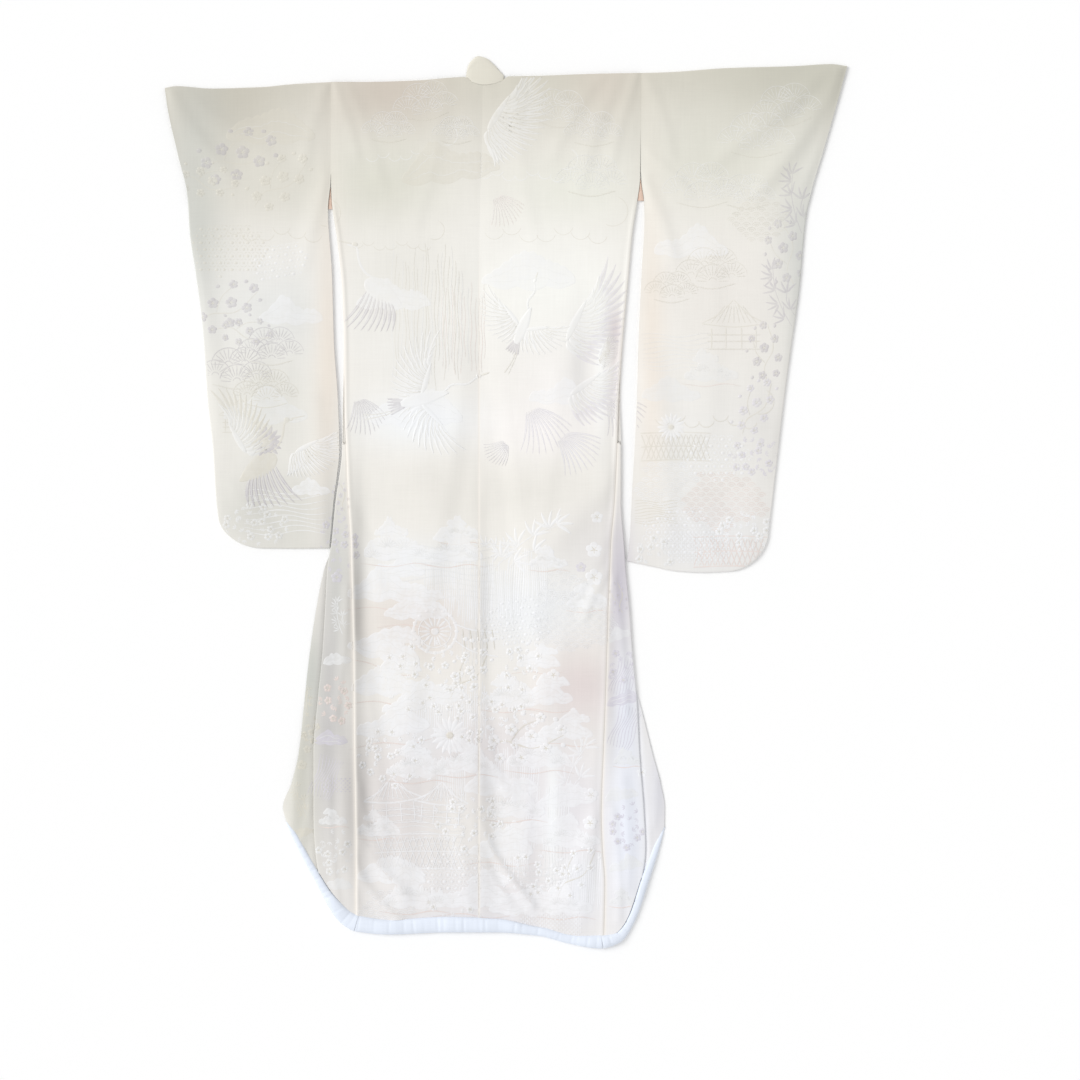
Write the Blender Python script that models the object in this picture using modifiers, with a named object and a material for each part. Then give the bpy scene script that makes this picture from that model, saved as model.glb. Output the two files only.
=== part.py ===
"""Uchikake wedding kimono, laid flat on a surface with its back upward.

Metres, +Z up, the collar towards +Y.  The origin is the middle of the garment
on the surface.  Left and right are the wearer's, so left is -X.

The fronts lie under the back.  Below the waist each front swings out past its
side seam and turns under at a fold line, and the extra front panel (okumi)
lies lowest, turned outward, so a strip of it shows beyond the fold.
"""
from collections import namedtuple
import math

import bmesh
import bpy
import numpy as np

# ---------------------------------------------------------------- sizes
CLOTH = 0.0018          # wall of figured silk with its lining
STEP = 0.0022           # pitch of layers that lie on each other
GAP = 0.0003            # clearance between pieces at a seam
FOLD_REACH = 0.002      # how far a folded edge rounds out
SLEEVE_EDGE = 0.0048    # height of a sleeve along its folded and sewn edges
COLLAR_BAND = 0.055     # width of the collar down the fronts
BAND_INSET = 0.012      # the front collar starts this far under the shoulder
BAND_NECK = 0.45        # share of its width that it has beside the neck
BAND_SPREAD = 0.28      # length over which it opens to its full width
COLLAR_WALL = 0.003     # collar cloth is doubled and stiffened
COLLAR_END = 0.0        # where the collar ends on the front edges
COLLAR_CROWN = 0.0045   # how far the collar rounds up behind the neck
COLLAR_TUCK = 0.1       # share of its width by which it is rounded at its edges already
LEAF_START = 0.12       # the fronts show beyond the side seams below this
RISE_TOP = 0.25         # the fronts climb onto the okumi between these two
RISE_END = 0.10
DIP = 0.045             # how fast the back comes down between the fronts
PUFF_BACK = 0.004       # how far each panel stands proud between its seams
PUFF_LEAF = 0.002
PUFF_SLEEVE = 0.003
HEM_HEIGHT = 0.014      # thickness of the padded hem roll
HEM_EASE = 0.0018       # the panels stop this far short of the roll's inner edge
HEM_FULLNESS = 0.55     # most that the roll is thick for its width
SLIVER_EASE = 0.0008    # the lining keeps this far from the edges beside it
SLIVER = 0.042          # length of lining that shows at a slit
SLIT_LEFT = 0.628       # where the lining starts to show at each sleeve
SLIT_RIGHT = 0.645
SEWN_PAST = 0.01        # the outer edge is sewn from this far above the cuff's end
CROWN_POWER = 0.7       # below 1, a panel rises steeply at its seams

# ---------------------------------------------------------------- sections
# One row for each section across the body, from the shoulder to the hem: where
# the outer folds of the fronts, the side seams, the front edges and the centre
# back seam stand.
Body = namedtuple("Body", "y fold_left seam_left open_left centre open_right seam_right fold_right")
BODY = (
    Body(0.860, -0.350, -0.350, -0.092, -0.046, -0.002, 0.270, 0.270),
    Body(0.650, -0.350, -0.350, -0.105, -0.050, 0.012, 0.268, 0.268),
    Body(0.600, -0.348, -0.348, -0.110, -0.052, 0.017, 0.262, 0.262),
    Body(0.530, -0.338, -0.338, -0.116, -0.053, 0.024, 0.252, 0.252),
    Body(0.420, -0.327, -0.327, -0.126, -0.054, 0.036, 0.242, 0.242),
    Body(0.320, -0.324, -0.324, -0.137, -0.054, 0.047, 0.233, 0.233),
    Body(0.200, -0.326, -0.323, -0.150, -0.054, 0.060, 0.225, 0.228),
    Body(0.100, -0.328, -0.319, -0.166, -0.054, 0.075, 0.222, 0.230),
    Body(0.000, -0.341, -0.315, -0.185, -0.054, 0.090, 0.217, 0.230),
    Body(-0.080, -0.349, -0.310, -0.200, -0.054, 0.102, 0.210, 0.236),
    Body(-0.130, -0.357, -0.309, -0.210, -0.054, 0.110, 0.208, 0.239),
    Body(-0.200, -0.361, -0.307, -0.222, -0.054, 0.119, 0.205, 0.246),
    Body(-0.300, -0.367, -0.305, -0.240, -0.054, 0.130, 0.202, 0.253),
    Body(-0.400, -0.377, -0.304, -0.253, -0.054, 0.141, 0.199, 0.262),
    Body(-0.500, -0.385, -0.303, -0.262, -0.054, 0.148, 0.195, 0.267),
    Body(-0.620, -0.385, -0.301, -0.267, -0.054, 0.152, 0.191, 0.276),
    Body(-0.690, -0.382, -0.300, -0.269, -0.054, 0.154, 0.193, 0.279),
    Body(-0.760, -0.371, -0.300, -0.270, -0.054, 0.156, 0.198, 0.271),
    Body(-0.860, -0.350, -0.300, -0.270, -0.054, 0.158, 0.196, 0.255),
)

# Outer edges of the two okumi, from their tops under the fronts to the hem.
Okumi = namedtuple("Okumi", "y outer_left outer_right")
OKUMI = (
    Okumi(0.100, -0.300, 0.190),
    Okumi(0.000, -0.325, 0.212),
    Okumi(-0.080, -0.342, 0.226),
    Okumi(-0.130, -0.362, 0.233),
    Okumi(-0.200, -0.377, 0.241),
    Okumi(-0.300, -0.392, 0.250),
    Okumi(-0.370, -0.400, 0.259),
    Okumi(-0.400, -0.403, 0.267),
    Okumi(-0.500, -0.414, 0.292),
    Okumi(-0.560, -0.428, 0.308),
    Okumi(-0.610, -0.446, 0.317),
)

# Height of the shoulder line and the neck curve across the body.
Shoulder = namedtuple("Shoulder", "x y")
SHOULDER = (
    Shoulder(-0.350, 0.840), Shoulder(-0.286, 0.840), Shoulder(-0.176, 0.843),
    Shoulder(-0.116, 0.848), Shoulder(-0.082, 0.850), Shoulder(-0.066, 0.839),
    Shoulder(-0.046, 0.834), Shoulder(-0.026, 0.836), Shoulder(-0.008, 0.842),
    Shoulder(0.004, 0.851), Shoulder(0.058, 0.852), Shoulder(0.168, 0.856),
    Shoulder(0.270, 0.858),
)

# One row for each section across the padded hem: its outer edge and its width.
Hem = namedtuple("Hem", "x y width")
HEM = (
    Hem(-0.440, -0.640, 0.003), Hem(-0.428, -0.668, 0.011), Hem(-0.400, -0.724, 0.014),
    Hem(-0.374, -0.772, 0.017), Hem(-0.355, -0.808, 0.025), Hem(-0.334, -0.838, 0.031),
    Hem(-0.300, -0.858, 0.033), Hem(-0.234, -0.864, 0.030), Hem(-0.118, -0.860, 0.032),
    Hem(-0.020, -0.860, 0.028), Hem(0.066, -0.867, 0.018), Hem(0.124, -0.882, 0.019),
    Hem(0.188, -0.892, 0.027), Hem(0.228, -0.880, 0.022), Hem(0.258, -0.836, 0.016),
    Hem(0.284, -0.762, 0.016), Hem(0.304, -0.700, 0.013), Hem(0.318, -0.650, 0.003),
)

# Section of the padded hem, from its outer edge over the top to its inner edge:
# share of half its width, and share of its height.
Spot = namedtuple("Spot", "across up")
HEM_SECTION = (
    Spot(0.86, 0.0), Spot(1.0, 0.34), Spot(0.80, 0.80), Spot(0.30, 1.0),
    Spot(-0.30, 1.0), Spot(-0.80, 0.80), Spot(-1.0, 0.36), Spot(-0.86, 0.0),
)

# Each sleeve: its top line, its outer edge down to the round corner, the
# corner's centre and half axes, its bottom line, and its inner edge.
Sleeve = namedtuple("Sleeve", "top outer cuff_end corner bottom inner")
Corner = namedtuple("Corner", "x y across down")
SLEEVES = {
    "left": Sleeve(
        top=((-0.350, 0.840), (-0.424, 0.836), (-0.488, 0.830), (-0.588, 0.827),
             (-0.660, 0.832), (-0.682, 0.828)),
        outer=((-0.682, 0.828), (-0.676, 0.786), (-0.654, 0.688), (-0.637, 0.616),
               (-0.632, 0.540), (-0.620, 0.458), (-0.606, 0.348), (-0.596, 0.204),
               (-0.586, 0.112), (-0.579, 0.004), (-0.576, -0.022)),
        cuff_end=0.616,
        corner=Corner(-0.484, -0.022, -0.092, 0.070),
        bottom=((-0.484, -0.092), (-0.420, -0.0925), (-0.353, -0.092)),
        inner=((-0.350, 0.840), (-0.3505, 0.648), (-0.356, 0.584), (-0.348, 0.458),
               (-0.344, 0.320), (-0.336, 0.204), (-0.333, 0.104), (-0.338, 0.052),
               (-0.344, 0.008), (-0.348, -0.034), (-0.353, -0.092)),
    ),
    "right": Sleeve(
        top=((0.270, 0.858), (0.330, 0.860), (0.442, 0.868), (0.578, 0.872),
             (0.650, 0.876), (0.682, 0.872)),
        outer=((0.682, 0.872), (0.661, 0.796), (0.634, 0.702), (0.608, 0.612),
               (0.598, 0.552), (0.587, 0.430), (0.568, 0.294), (0.556, 0.204),
               (0.542, 0.084), (0.532, -0.002), (0.526, -0.054)),
        cuff_end=0.612,
        corner=Corner(0.440, -0.054, 0.086, 0.085),
        bottom=((0.440, -0.139), (0.394, -0.141), (0.340, -0.138), (0.294, -0.129),
                (0.242, -0.118)),
        inner=((0.270, 0.858), (0.2705, 0.648), (0.276, 0.600), (0.277, 0.568),
               (0.272, 0.468), (0.265, 0.320), (0.262, 0.212), (0.257, 0.104),
               (0.252, 0.018), (0.249, -0.048), (0.246, -0.088), (0.242, -0.118)),
    ),
}

# Outline of the collar behind the neck.
COLLAR_DOME = ((-0.080, 0.853), (-0.076, 0.872), (-0.068, 0.884), (-0.056, 0.892),
               (-0.040, 0.888), (-0.026, 0.877), (-0.014, 0.864), (-0.004, 0.853))

# The largest folds, one row each: its two ends, half its width and its height.
Fold = namedtuple("Fold", "x0 y0 x1 y1 reach height")
BODY_FOLDS = (
    Fold(-0.290, -0.300, -0.250, -0.700, 0.022, 0.006),   # beside the left side seam
    Fold(-0.286, -0.680, -0.205, -0.775, 0.020, 0.007),
    Fold(-0.294, -0.740, -0.215, -0.835, 0.018, 0.006),
    Fold(-0.050, -0.430, -0.005, -0.570, 0.022, 0.005),   # right of the centre seam
    Fold(-0.050, -0.650, 0.050, -0.800, 0.024, 0.008),
    Fold(0.060, -0.420, 0.030, -0.780, 0.040, 0.005),
    Fold(0.210, 0.050, 0.110, -0.060, 0.035, 0.005),      # across the right waist
    Fold(0.185, 0.340, 0.180, 0.090, 0.030, 0.004),
    Fold(0.130, -0.780, 0.180, -0.640, 0.028, 0.005),
    Fold(-0.200, 0.300, -0.160, -0.100, 0.045, 0.003),
)
SIDE_FOLDS = (
    Fold(-0.425, -0.640, -0.400, -0.420, 0.014, 0.004),
    Fold(-0.340, -0.420, -0.330, -0.700, 0.022, 0.005),
    Fold(0.232, -0.560, 0.240, -0.760, 0.022, 0.005),
    Fold(0.300, -0.560, 0.296, -0.640, 0.012, 0.003),
)
SLEEVE_FOLDS = (
    Fold(0.672, 0.868, 0.520, 0.640, 0.026, 0.006),       # from the right sleeve's corner
    Fold(0.640, 0.870, 0.440, 0.700, 0.026, 0.004),
    Fold(0.276, 0.640, 0.330, 0.500, 0.020, 0.004),
    Fold(0.500, 0.200, 0.480, -0.080, 0.035, 0.004),
    Fold(0.300, 0.240, 0.320, -0.060, 0.030, 0.003),
    Fold(-0.670, 0.820, -0.560, 0.660, 0.026, 0.005),     # from the left sleeve's corner
    Fold(-0.356, 0.640, -0.400, 0.480, 0.020, 0.003),
    Fold(-0.500, 0.300, -0.520, 0.000, 0.035, 0.004),
    Fold(-0.380, 0.200, -0.370, -0.060, 0.024, 0.003),
)

# ---------------------------------------------------------------- mesh density
BODY_ROWS = 26
HEM_STEPS = 44
BACK_COLS = (0.0, 0.13, 0.26, 0.39, 0.52, 0.65, 0.77, 0.86, 0.895, 0.93, 0.965, 1.0)
FRONT_COLS = (0.0, 0.5, 1.0, 1.33, 1.67, 2.0, 2.25, 2.5, 2.75, 3.0)
OKUMI_COLS = (0.0, 0.10, 0.22, 0.35, 0.48, 0.60, 0.72, 0.86, 1.0)
OKUMI_ROWS = (0.0, 0.12, 0.24, 0.35, 0.45, 0.54, 0.63, 0.71, 0.79, 0.86, 0.91, 0.94, 0.965, 0.985, 1.0)
SLEEVE_COLS = (0.0, 0.15, 0.30, 0.45, 0.60, 0.73, 0.84, 0.93, 1.0)
SLEEVE_ROWS = (0.0, 0.07, 0.14, 0.205, 0.24, 0.275, 0.34, 0.42, 0.50, 0.58, 0.66, 0.75, 0.84, 0.91,
               0.96, 1.0)

# ---------------------------------------------------------------- materials
# name: base colour (linear), roughness
MATERIALS = {
    "figured_silk": ((0.80, 0.77, 0.73, 1.0), 0.42),
    "collar_silk": ((0.74, 0.71, 0.62, 1.0), 0.50),
    "hem_silk": ((0.81, 0.87, 0.97, 1.0), 0.45),
    "lining_silk": ((0.78, 0.60, 0.50, 1.0), 0.50),
}


# ---------------------------------------------------------------- curves
def smooth(knots, values, at):
    """Shape-keeping cubic through the knots, without overshoot."""
    knots = np.asarray(knots, float)
    values = np.asarray(values, float)
    if knots[0] > knots[-1]:
        knots, values = knots[::-1], values[::-1]
    spans = np.diff(knots)
    rises = np.diff(values) / spans
    slopes = np.zeros_like(values)
    same = rises[:-1] * rises[1:] > 0
    both = rises[:-1] + rises[1:]
    slopes[1:-1][same] = 2 * rises[:-1][same] * rises[1:][same] / both[same]
    slopes[0], slopes[-1] = rises[0], rises[-1]
    at = np.clip(at, knots[0], knots[-1])
    k = np.clip(np.searchsorted(knots, at, side="right") - 1, 0, len(spans) - 1)
    t = (at - knots[k]) / spans[k]
    low = values[k] * (1 + 2 * t) * (1 - t) ** 2 + slopes[k] * spans[k] * t * (1 - t) ** 2
    high = values[k + 1] * t * t * (3 - 2 * t) - slopes[k + 1] * spans[k] * t * t * (1 - t)
    return low + high


def column(table, name):
    """x of one line of a section table, as a function of y."""
    knots = [row.y for row in table]
    values = [getattr(row, name) for row in table]
    return lambda y: float(smooth(knots, values, y))


def polyline(points):
    """A dense smooth line through points, read by its share of length from 0 to 1."""
    points = np.asarray(points, float)
    marks = np.append(0.0, np.cumsum(np.hypot(*np.diff(points, axis=0).T)))
    fine = np.linspace(0.0, marks[-1], 240)
    line = np.column_stack([[smooth(marks, points[:, k], s) for s in fine] for k in (0, 1)])
    reach = np.append(0.0, np.cumsum(np.hypot(*np.diff(line, axis=0).T)))
    reach /= reach[-1]
    return lambda t: np.array([np.interp(t, reach, line[:, 0]), np.interp(t, reach, line[:, 1])])


def ease(t):
    """0 below 0, 1 above 1, a soft step between."""
    t = min(max(t, 0.0), 1.0)
    return t * t * (3 - 2 * t)


def patch(top, bottom, left, right):
    """Coons patch: (u, v) to (x, y), u from left to right and v from top to bottom."""
    def point(u, v):
        corners = ((1 - u) * (1 - v) * top(0.0) + u * (1 - v) * top(1.0)
                   + (1 - u) * v * bottom(0.0) + u * v * bottom(1.0))
        return ((1 - v) * top(u) + v * bottom(u) + (1 - u) * left(v) + u * right(v)) - corners
    return point


FOLD_LEFT, FOLD_RIGHT = column(BODY, "fold_left"), column(BODY, "fold_right")
SEAM_LEFT, SEAM_RIGHT = column(BODY, "seam_left"), column(BODY, "seam_right")
OPEN_LEFT, OPEN_RIGHT = column(BODY, "open_left"), column(BODY, "open_right")
CENTRE = column(BODY, "centre")


def shoulder(x):
    """y of the shoulder line."""
    return float(smooth([row.x for row in SHOULDER], [row.y for row in SHOULDER], x))


def hem_lines():
    """Outer and inner edge of the padded hem, as lists of (x, y) along it."""
    outer = polyline([(row.x, row.y) for row in HEM])
    marks = np.array([(row.x, row.y) for row in HEM])
    lengths = np.append(0.0, np.cumsum(np.hypot(*np.diff(marks, axis=0).T)))
    shares = lengths / lengths[-1]
    outside, inside = [], []
    for step in range(HEM_STEPS + 1):
        t = step / HEM_STEPS
        along = outer(min(t + 0.01, 1.0)) - outer(max(t - 0.01, 0.0))
        along /= np.linalg.norm(along)
        inward = np.array([-along[1], along[0]])
        width = smooth(shares, [row.width for row in HEM], t)
        outside.append(outer(t))
        inside.append(outer(t) + inward * width)
    return outside, inside


HEM_OUTSIDE, HEM_INSIDE = hem_lines()


def hem_top(x):
    """y of the inner edge of the padded hem, where the panels end."""
    xs = [point[0] for point in HEM_INSIDE]
    ys = [point[1] for point in HEM_INSIDE]
    return float(np.interp(x, xs, ys)) + HEM_EASE


def hem_corner(line):
    """Where a line down the body meets the padded hem."""
    y = HEM[8].y
    for _ in range(40):
        y = hem_top(line(y))
    return y


def down(line, start, shift=0.0):
    """Edge of a panel along a line of the body, from y = start to the padded hem."""
    end = hem_corner(line)
    return lambda v: np.array([line(start + (end - start) * v) + shift, start + (end - start) * v])


def across_top(x0, x1):
    """Edge of a panel along the shoulder line."""
    return lambda u: np.array([x0 + (x1 - x0) * u, shoulder(x0 + (x1 - x0) * u)])


def across_hem(x0, x1):
    """Edge of a panel along the padded hem."""
    return lambda u: np.array([x0 + (x1 - x0) * u, hem_top(x0 + (x1 - x0) * u)])


def between(line_a, line_b, shift_a=0.0, shift_b=0.0):
    """Body panel between two lines, from the shoulder to the padded hem."""
    xa, xb = line_a(SHOULDER[0].y) + shift_a, line_b(SHOULDER[0].y) + shift_b
    left = down(line_a, shoulder(xa), shift_a)
    right = down(line_b, shoulder(xb), shift_b)
    return patch(across_top(xa, xb), across_hem(left(1.0)[0], right(1.0)[0]), left, right)


# ---------------------------------------------------------------- heights
def fold_height(folds, x, y):
    """Height that the folds add at a point."""
    total = 0.0
    for fold in folds:
        run = np.array([fold.x1 - fold.x0, fold.y1 - fold.y0])
        share = float(np.dot([x - fold.x0, y - fold.y0], run) / np.dot(run, run))
        nearest = np.array([fold.x0, fold.y0]) + run * min(max(share, 0.0), 1.0)
        off = math.hypot(x - nearest[0], y - nearest[1]) / fold.reach
        total += fold.height * math.exp(-off * off)
    return total


def front_base(y):
    """Underside of the fronts: on the surface above the waist, on the okumi below."""
    return STEP * ease((RISE_TOP - y) / (RISE_TOP - RISE_END))


def back_base(x, y):
    """Underside of the back: on the fronts, and on the surface between them."""
    past_left = ease((x - OPEN_LEFT(y) - COLLAR_BAND) / DIP)
    past_right = ease((OPEN_RIGHT(y) - COLLAR_BAND - x) / DIP)
    return (front_base(y) + STEP) * (1 - past_left * past_right)


def crown(share):
    """How a panel stands proud between two seams, 0 at both and 1 half way."""
    return (4 * share * (1 - share)) ** CROWN_POWER if 0 < share < 1 else 0.0


# ---------------------------------------------------------------- mesh tools
def finish_sheet(name, bm, wall, material):
    """Turn the open sheet so that its top faces up, and give it its wall."""
    bmesh.ops.recalc_face_normals(bm, faces=bm.faces)
    highest = max(bm.faces, key=lambda face: face.calc_center_median().z)
    highest.normal_update()
    if highest.normal.z < 0:
        bmesh.ops.reverse_faces(bm, faces=bm.faces)
    mesh = bpy.data.meshes.new(name)
    bm.to_mesh(mesh)
    bm.free()
    obj = bpy.data.objects.new(name, mesh)
    GARMENT.objects.link(obj)
    mesh.materials.append(MADE[material])
    mesh.shade_smooth()
    if wall:
        solid = obj.modifiers.new("wall", "SOLIDIFY")
        solid.thickness = wall
        solid.offset = -1.0
        solid.use_quality_normals = True
    return obj


def grid_sheet(cols, rows, place):
    """An open grid whose point at (column, row) is place(cols[i], rows[j])."""
    bm = bmesh.new()
    wide, tall = len(cols) - 1, len(rows) - 1
    bmesh.ops.create_grid(bm, x_segments=wide, y_segments=tall, size=1.0)
    found = {}
    for vert in bm.verts:
        i = round((vert.co.x + 1) / 2 * wide)
        j = round((vert.co.y + 1) / 2 * tall)
        found[i, j] = vert
    for (i, j), vert in found.items():
        vert.co = place(cols[i], rows[j])
    return bm, found


def steps(count):
    """Even rows from 0 to 1."""
    return [k / count for k in range(count + 1)]


# ---------------------------------------------------------------- pieces
def make_back(name, line_a, line_b, shift_a, shift_b, cols):
    """One back panel, over the front, with its folds."""
    plan = between(line_a, line_b, shift_a, shift_b)

    def place(u, v):
        x, y = plan(u, v)
        z = back_base(x, y) + CLOTH + PUFF_BACK * crown(u) + fold_height(BODY_FOLDS, x, y)
        return x, y, z
    bm, _ = grid_sheet(cols, steps(BODY_ROWS), place)
    return finish_sheet(name, bm, CLOTH, "figured_silk")


def make_front(name, fold, seam, edge, side):
    """One front: a leaf that shows beyond the side seam, turned under at its fold."""
    upper = between(fold, seam, 0.0, side * GAP)
    lower = between(fold, edge)
    reach_up = FOLD_REACH * side

    def place(a, v):
        if a <= 1.0:
            x, y = upper(1.0 - a, v)
            x -= reach_up * a
            lift = PUFF_LEAF * crown(a) + fold_height(SIDE_FOLDS, x, y)
            return x, y, front_base(y) + STEP + CLOTH + lift
        if a >= 2.0:
            x, y = lower(a - 2.0, v)
            x -= reach_up * (3.0 - a)
            return x, y, front_base(y)
        x, y = lower(0.0, v)
        turn = math.pi * (1.5 - a)
        half = (STEP + CLOTH) / 2
        return x - reach_up * (1 - math.cos(turn)), y, front_base(y) + half + half * math.sin(turn)
    bm, found = grid_sheet(FRONT_COLS, steps(BODY_ROWS), place)
    leaf = {vert for (i, _), vert in found.items() if FRONT_COLS[i] <= 2.0}
    spare = []
    for face in bm.faces:
        if leaf.issuperset(face.verts) and face.calc_center_median().y > LEAF_START:
            spare.append(face)
    bmesh.ops.delete(bm, geom=spare, context="FACES")
    return finish_sheet(name, bm, CLOTH, "figured_silk")


def make_okumi(name, outer_name, seam, tip):
    """One okumi, lowest of the layers, from its hidden top to the padded hem."""
    knots = [row.y for row in OKUMI] + [tip[1] + HEM_EASE]
    reaches = [getattr(row, outer_name) for row in OKUMI] + [tip[0]]
    start, end = knots[0], knots[-1]

    def left(v):
        y = start + (end - start) * v
        return np.array([float(smooth(knots, reaches, y)), y])
    right = down(seam, start)
    top = lambda u: left(0.0) * (1 - u) + right(0.0) * u
    plan = patch(top, across_hem(left(1.0)[0], right(1.0)[0]), left, right)
    bm, _ = grid_sheet(OKUMI_COLS, OKUMI_ROWS, lambda u, v: (*plan(u, v), CLOTH))
    return finish_sheet(name, bm, CLOTH, "figured_silk")


def make_sleeve(name, cut):
    """One sleeve: a length folded at the top, sewn below the cuff and at the bottom."""
    turn = cut.corner
    arc = [(turn.x + turn.across * math.cos(a), turn.y - turn.down * math.sin(a))
           for a in np.radians([11.25 * k for k in range(9)])]
    outer = polyline(list(cut.outer) + arc[1:5])
    bottom = polyline(list(reversed(list(arc[4:]) + list(cut.bottom[1:]))))
    top = polyline(cut.top)
    inner = polyline(cut.inner)
    plan = patch(top, bottom, inner, outer)
    length = float(inner(0.0)[1] - inner(1.0)[1])
    width = abs(float(top(1.0)[0] - top(0.0)[0]))
    inset_v, inset_u = FOLD_REACH / length, FOLD_REACH / width

    def place(u, row):
        leaf, v = row
        if leaf == 0:
            x, y = plan(u, v)
            return x, y, SLEEVE_EDGE / 2
        x, y = plan(u * (1 - inset_u), inset_v + v * (1 - 2 * inset_v))
        if leaf < 0:
            return x, y, 0.0
        lift = PUFF_SLEEVE * crown(u) ** 0.5 * crown(v) ** 0.5
        return x, y, SLEEVE_EDGE + lift + fold_height(SLEEVE_FOLDS, x, y)
    rows = [(-1, v) for v in reversed(SLEEVE_ROWS)] + [(0, 0.0)] + [(1, v) for v in SLEEVE_ROWS]
    bm, found = grid_sheet(SLEEVE_COLS, rows, place)
    last, last_row = len(SLEEVE_COLS) - 1, len(rows) - 1
    sewn = [(last, j) for j in range(len(SLEEVE_ROWS) + 1, last_row + 1)
            if found[last, j].co.y < cut.cuff_end + SEWN_PAST]
    sewn += [(i, last_row) for i in range(last - 1, -1, -1)]
    middle = {}
    for i, j in sewn:
        share = rows[j][1] if i == last else 1.0
        middle[i, j] = bm.verts.new(place(SLEEVE_COLS[i], (0, share)))
    for here, there in zip(sewn, sewn[1:]):
        below = (here[0], last_row - here[1]), (there[0], last_row - there[1])
        bm.faces.new((found[here], found[there], middle[there], middle[here]))
        bm.faces.new((middle[here], middle[there], found[below[1]], found[below[0]]))
    return finish_sheet(name, bm, CLOTH, "figured_silk")


def make_collar():
    """The stretch of collar round the back of the neck."""
    ends = COLLAR_DOME[0][0], COLLAR_DOME[-1][0]
    top = polyline(COLLAR_DOME)
    bottom = lambda u: np.array([ends[0] + (ends[1] - ends[0]) * u,
                                 shoulder(ends[0] + (ends[1] - ends[0]) * u) + GAP])
    left = lambda v: top(0.0) * (1 - v) + bottom(0.0) * v
    right = lambda v: top(1.0) * (1 - v) + bottom(1.0) * v
    plan = patch(top, bottom, left, right)

    def place(u, v):
        across = COLLAR_TUCK + (1 - 2 * COLLAR_TUCK) * v
        return (*plan(u, v), COLLAR_WALL + COLLAR_CROWN * crown(u) * crown(across))
    bm, _ = grid_sheet(steps(10), steps(4), place)
    return finish_sheet("collar", bm, COLLAR_WALL, "collar_silk")


def make_band(name, edge, side):
    """The collar down one front edge, from beside the neck to its end."""
    line = down(edge, shoulder(edge(SHOULDER[0].y)))
    knots = [line(v) for v in steps(BODY_ROWS)]
    start = knots[0][1] - BAND_INSET
    rows = [start] + [knot[1] for knot in knots if COLLAR_END <= knot[1] < start]

    def place(u, y):
        sewn = np.interp(-y, [-knot[1] for knot in knots], [knot[0] for knot in knots])
        spread = BAND_NECK + (1 - BAND_NECK) * ease((start - y) / BAND_SPREAD)
        return sewn + side * (GAP + COLLAR_BAND * spread * u), y, front_base(y) + CLOTH
    bm, _ = grid_sheet(steps(2), rows, place)
    return finish_sheet(name, bm, CLOTH, "collar_silk")


def make_hem(name, first, last):
    """A stretch of the padded hem: a roll, flat where it lies on the surface."""
    bm = bmesh.new()
    rings = []
    for k in range(first, last + 1):
        along = HEM_OUTSIDE[min(k + 1, HEM_STEPS)] - HEM_OUTSIDE[max(k - 1, 0)]
        along /= np.linalg.norm(along)
        trim = GAP / 2 * (int(k == first and first > 0) - int(k == last and last < HEM_STEPS))
        middle = (HEM_OUTSIDE[k] + HEM_INSIDE[k]) / 2 + along * trim
        half = (HEM_OUTSIDE[k] - HEM_INSIDE[k]) / 2
        height = min(HEM_HEIGHT, 2 * float(np.linalg.norm(half)) * HEM_FULLNESS)
        rings.append([bm.verts.new((*(middle + half * spot.across), height * spot.up))
                      for spot in HEM_SECTION])
    for near, far in zip(rings, rings[1:]):
        for k in range(len(near)):
            nxt = (k + 1) % len(near)
            bm.faces.new((near[k], near[nxt], far[nxt], far[k]))
    bm.faces.new(rings[0])
    bm.faces.new(list(reversed(rings[-1])))
    return finish_sheet(name, bm, 0.0, "hem_silk")


def hem_step(x):
    """The section of the padded hem nearest to a side seam."""
    return min(range(HEM_STEPS + 1), key=lambda k: abs(HEM_OUTSIDE[k][0] - x))


def make_sliver(name, body_line, sleeve_inner, side, top):
    """Lining that shows where the sleeve parts from the body."""
    knots, reaches = [point[1] for point in sleeve_inner], [point[0] for point in sleeve_inner]

    def place(u, v):
        y = top - SLIVER * v
        sleeve_edge = float(smooth(knots, reaches, y)) - side * SLIVER_EASE
        body_edge = body_line(y) + side * SLIVER_EASE
        return sleeve_edge + (body_edge - sleeve_edge) * u, y, CLOTH + GAP
    bm, _ = grid_sheet((0.0, 1.0), steps(4), place)
    return finish_sheet(name, bm, CLOTH, "lining_silk")


# ---------------------------------------------------------------- build
for old in list(bpy.data.objects):
    bpy.data.objects.remove(old, do_unlink=True)
GARMENT = bpy.data.collections.new("uchikake")
bpy.context.scene.collection.children.link(GARMENT)
MADE = {}
for label, (colour, rough) in MATERIALS.items():
    made = bpy.data.materials.new(label)
    made.use_nodes = True
    shader = made.node_tree.nodes["Principled BSDF"]
    shader.inputs["Base Color"].default_value = colour
    shader.inputs["Roughness"].default_value = rough
    shader.inputs["Metallic"].default_value = 0.0
    made.diffuse_color = colour
    MADE[label] = made

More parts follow.
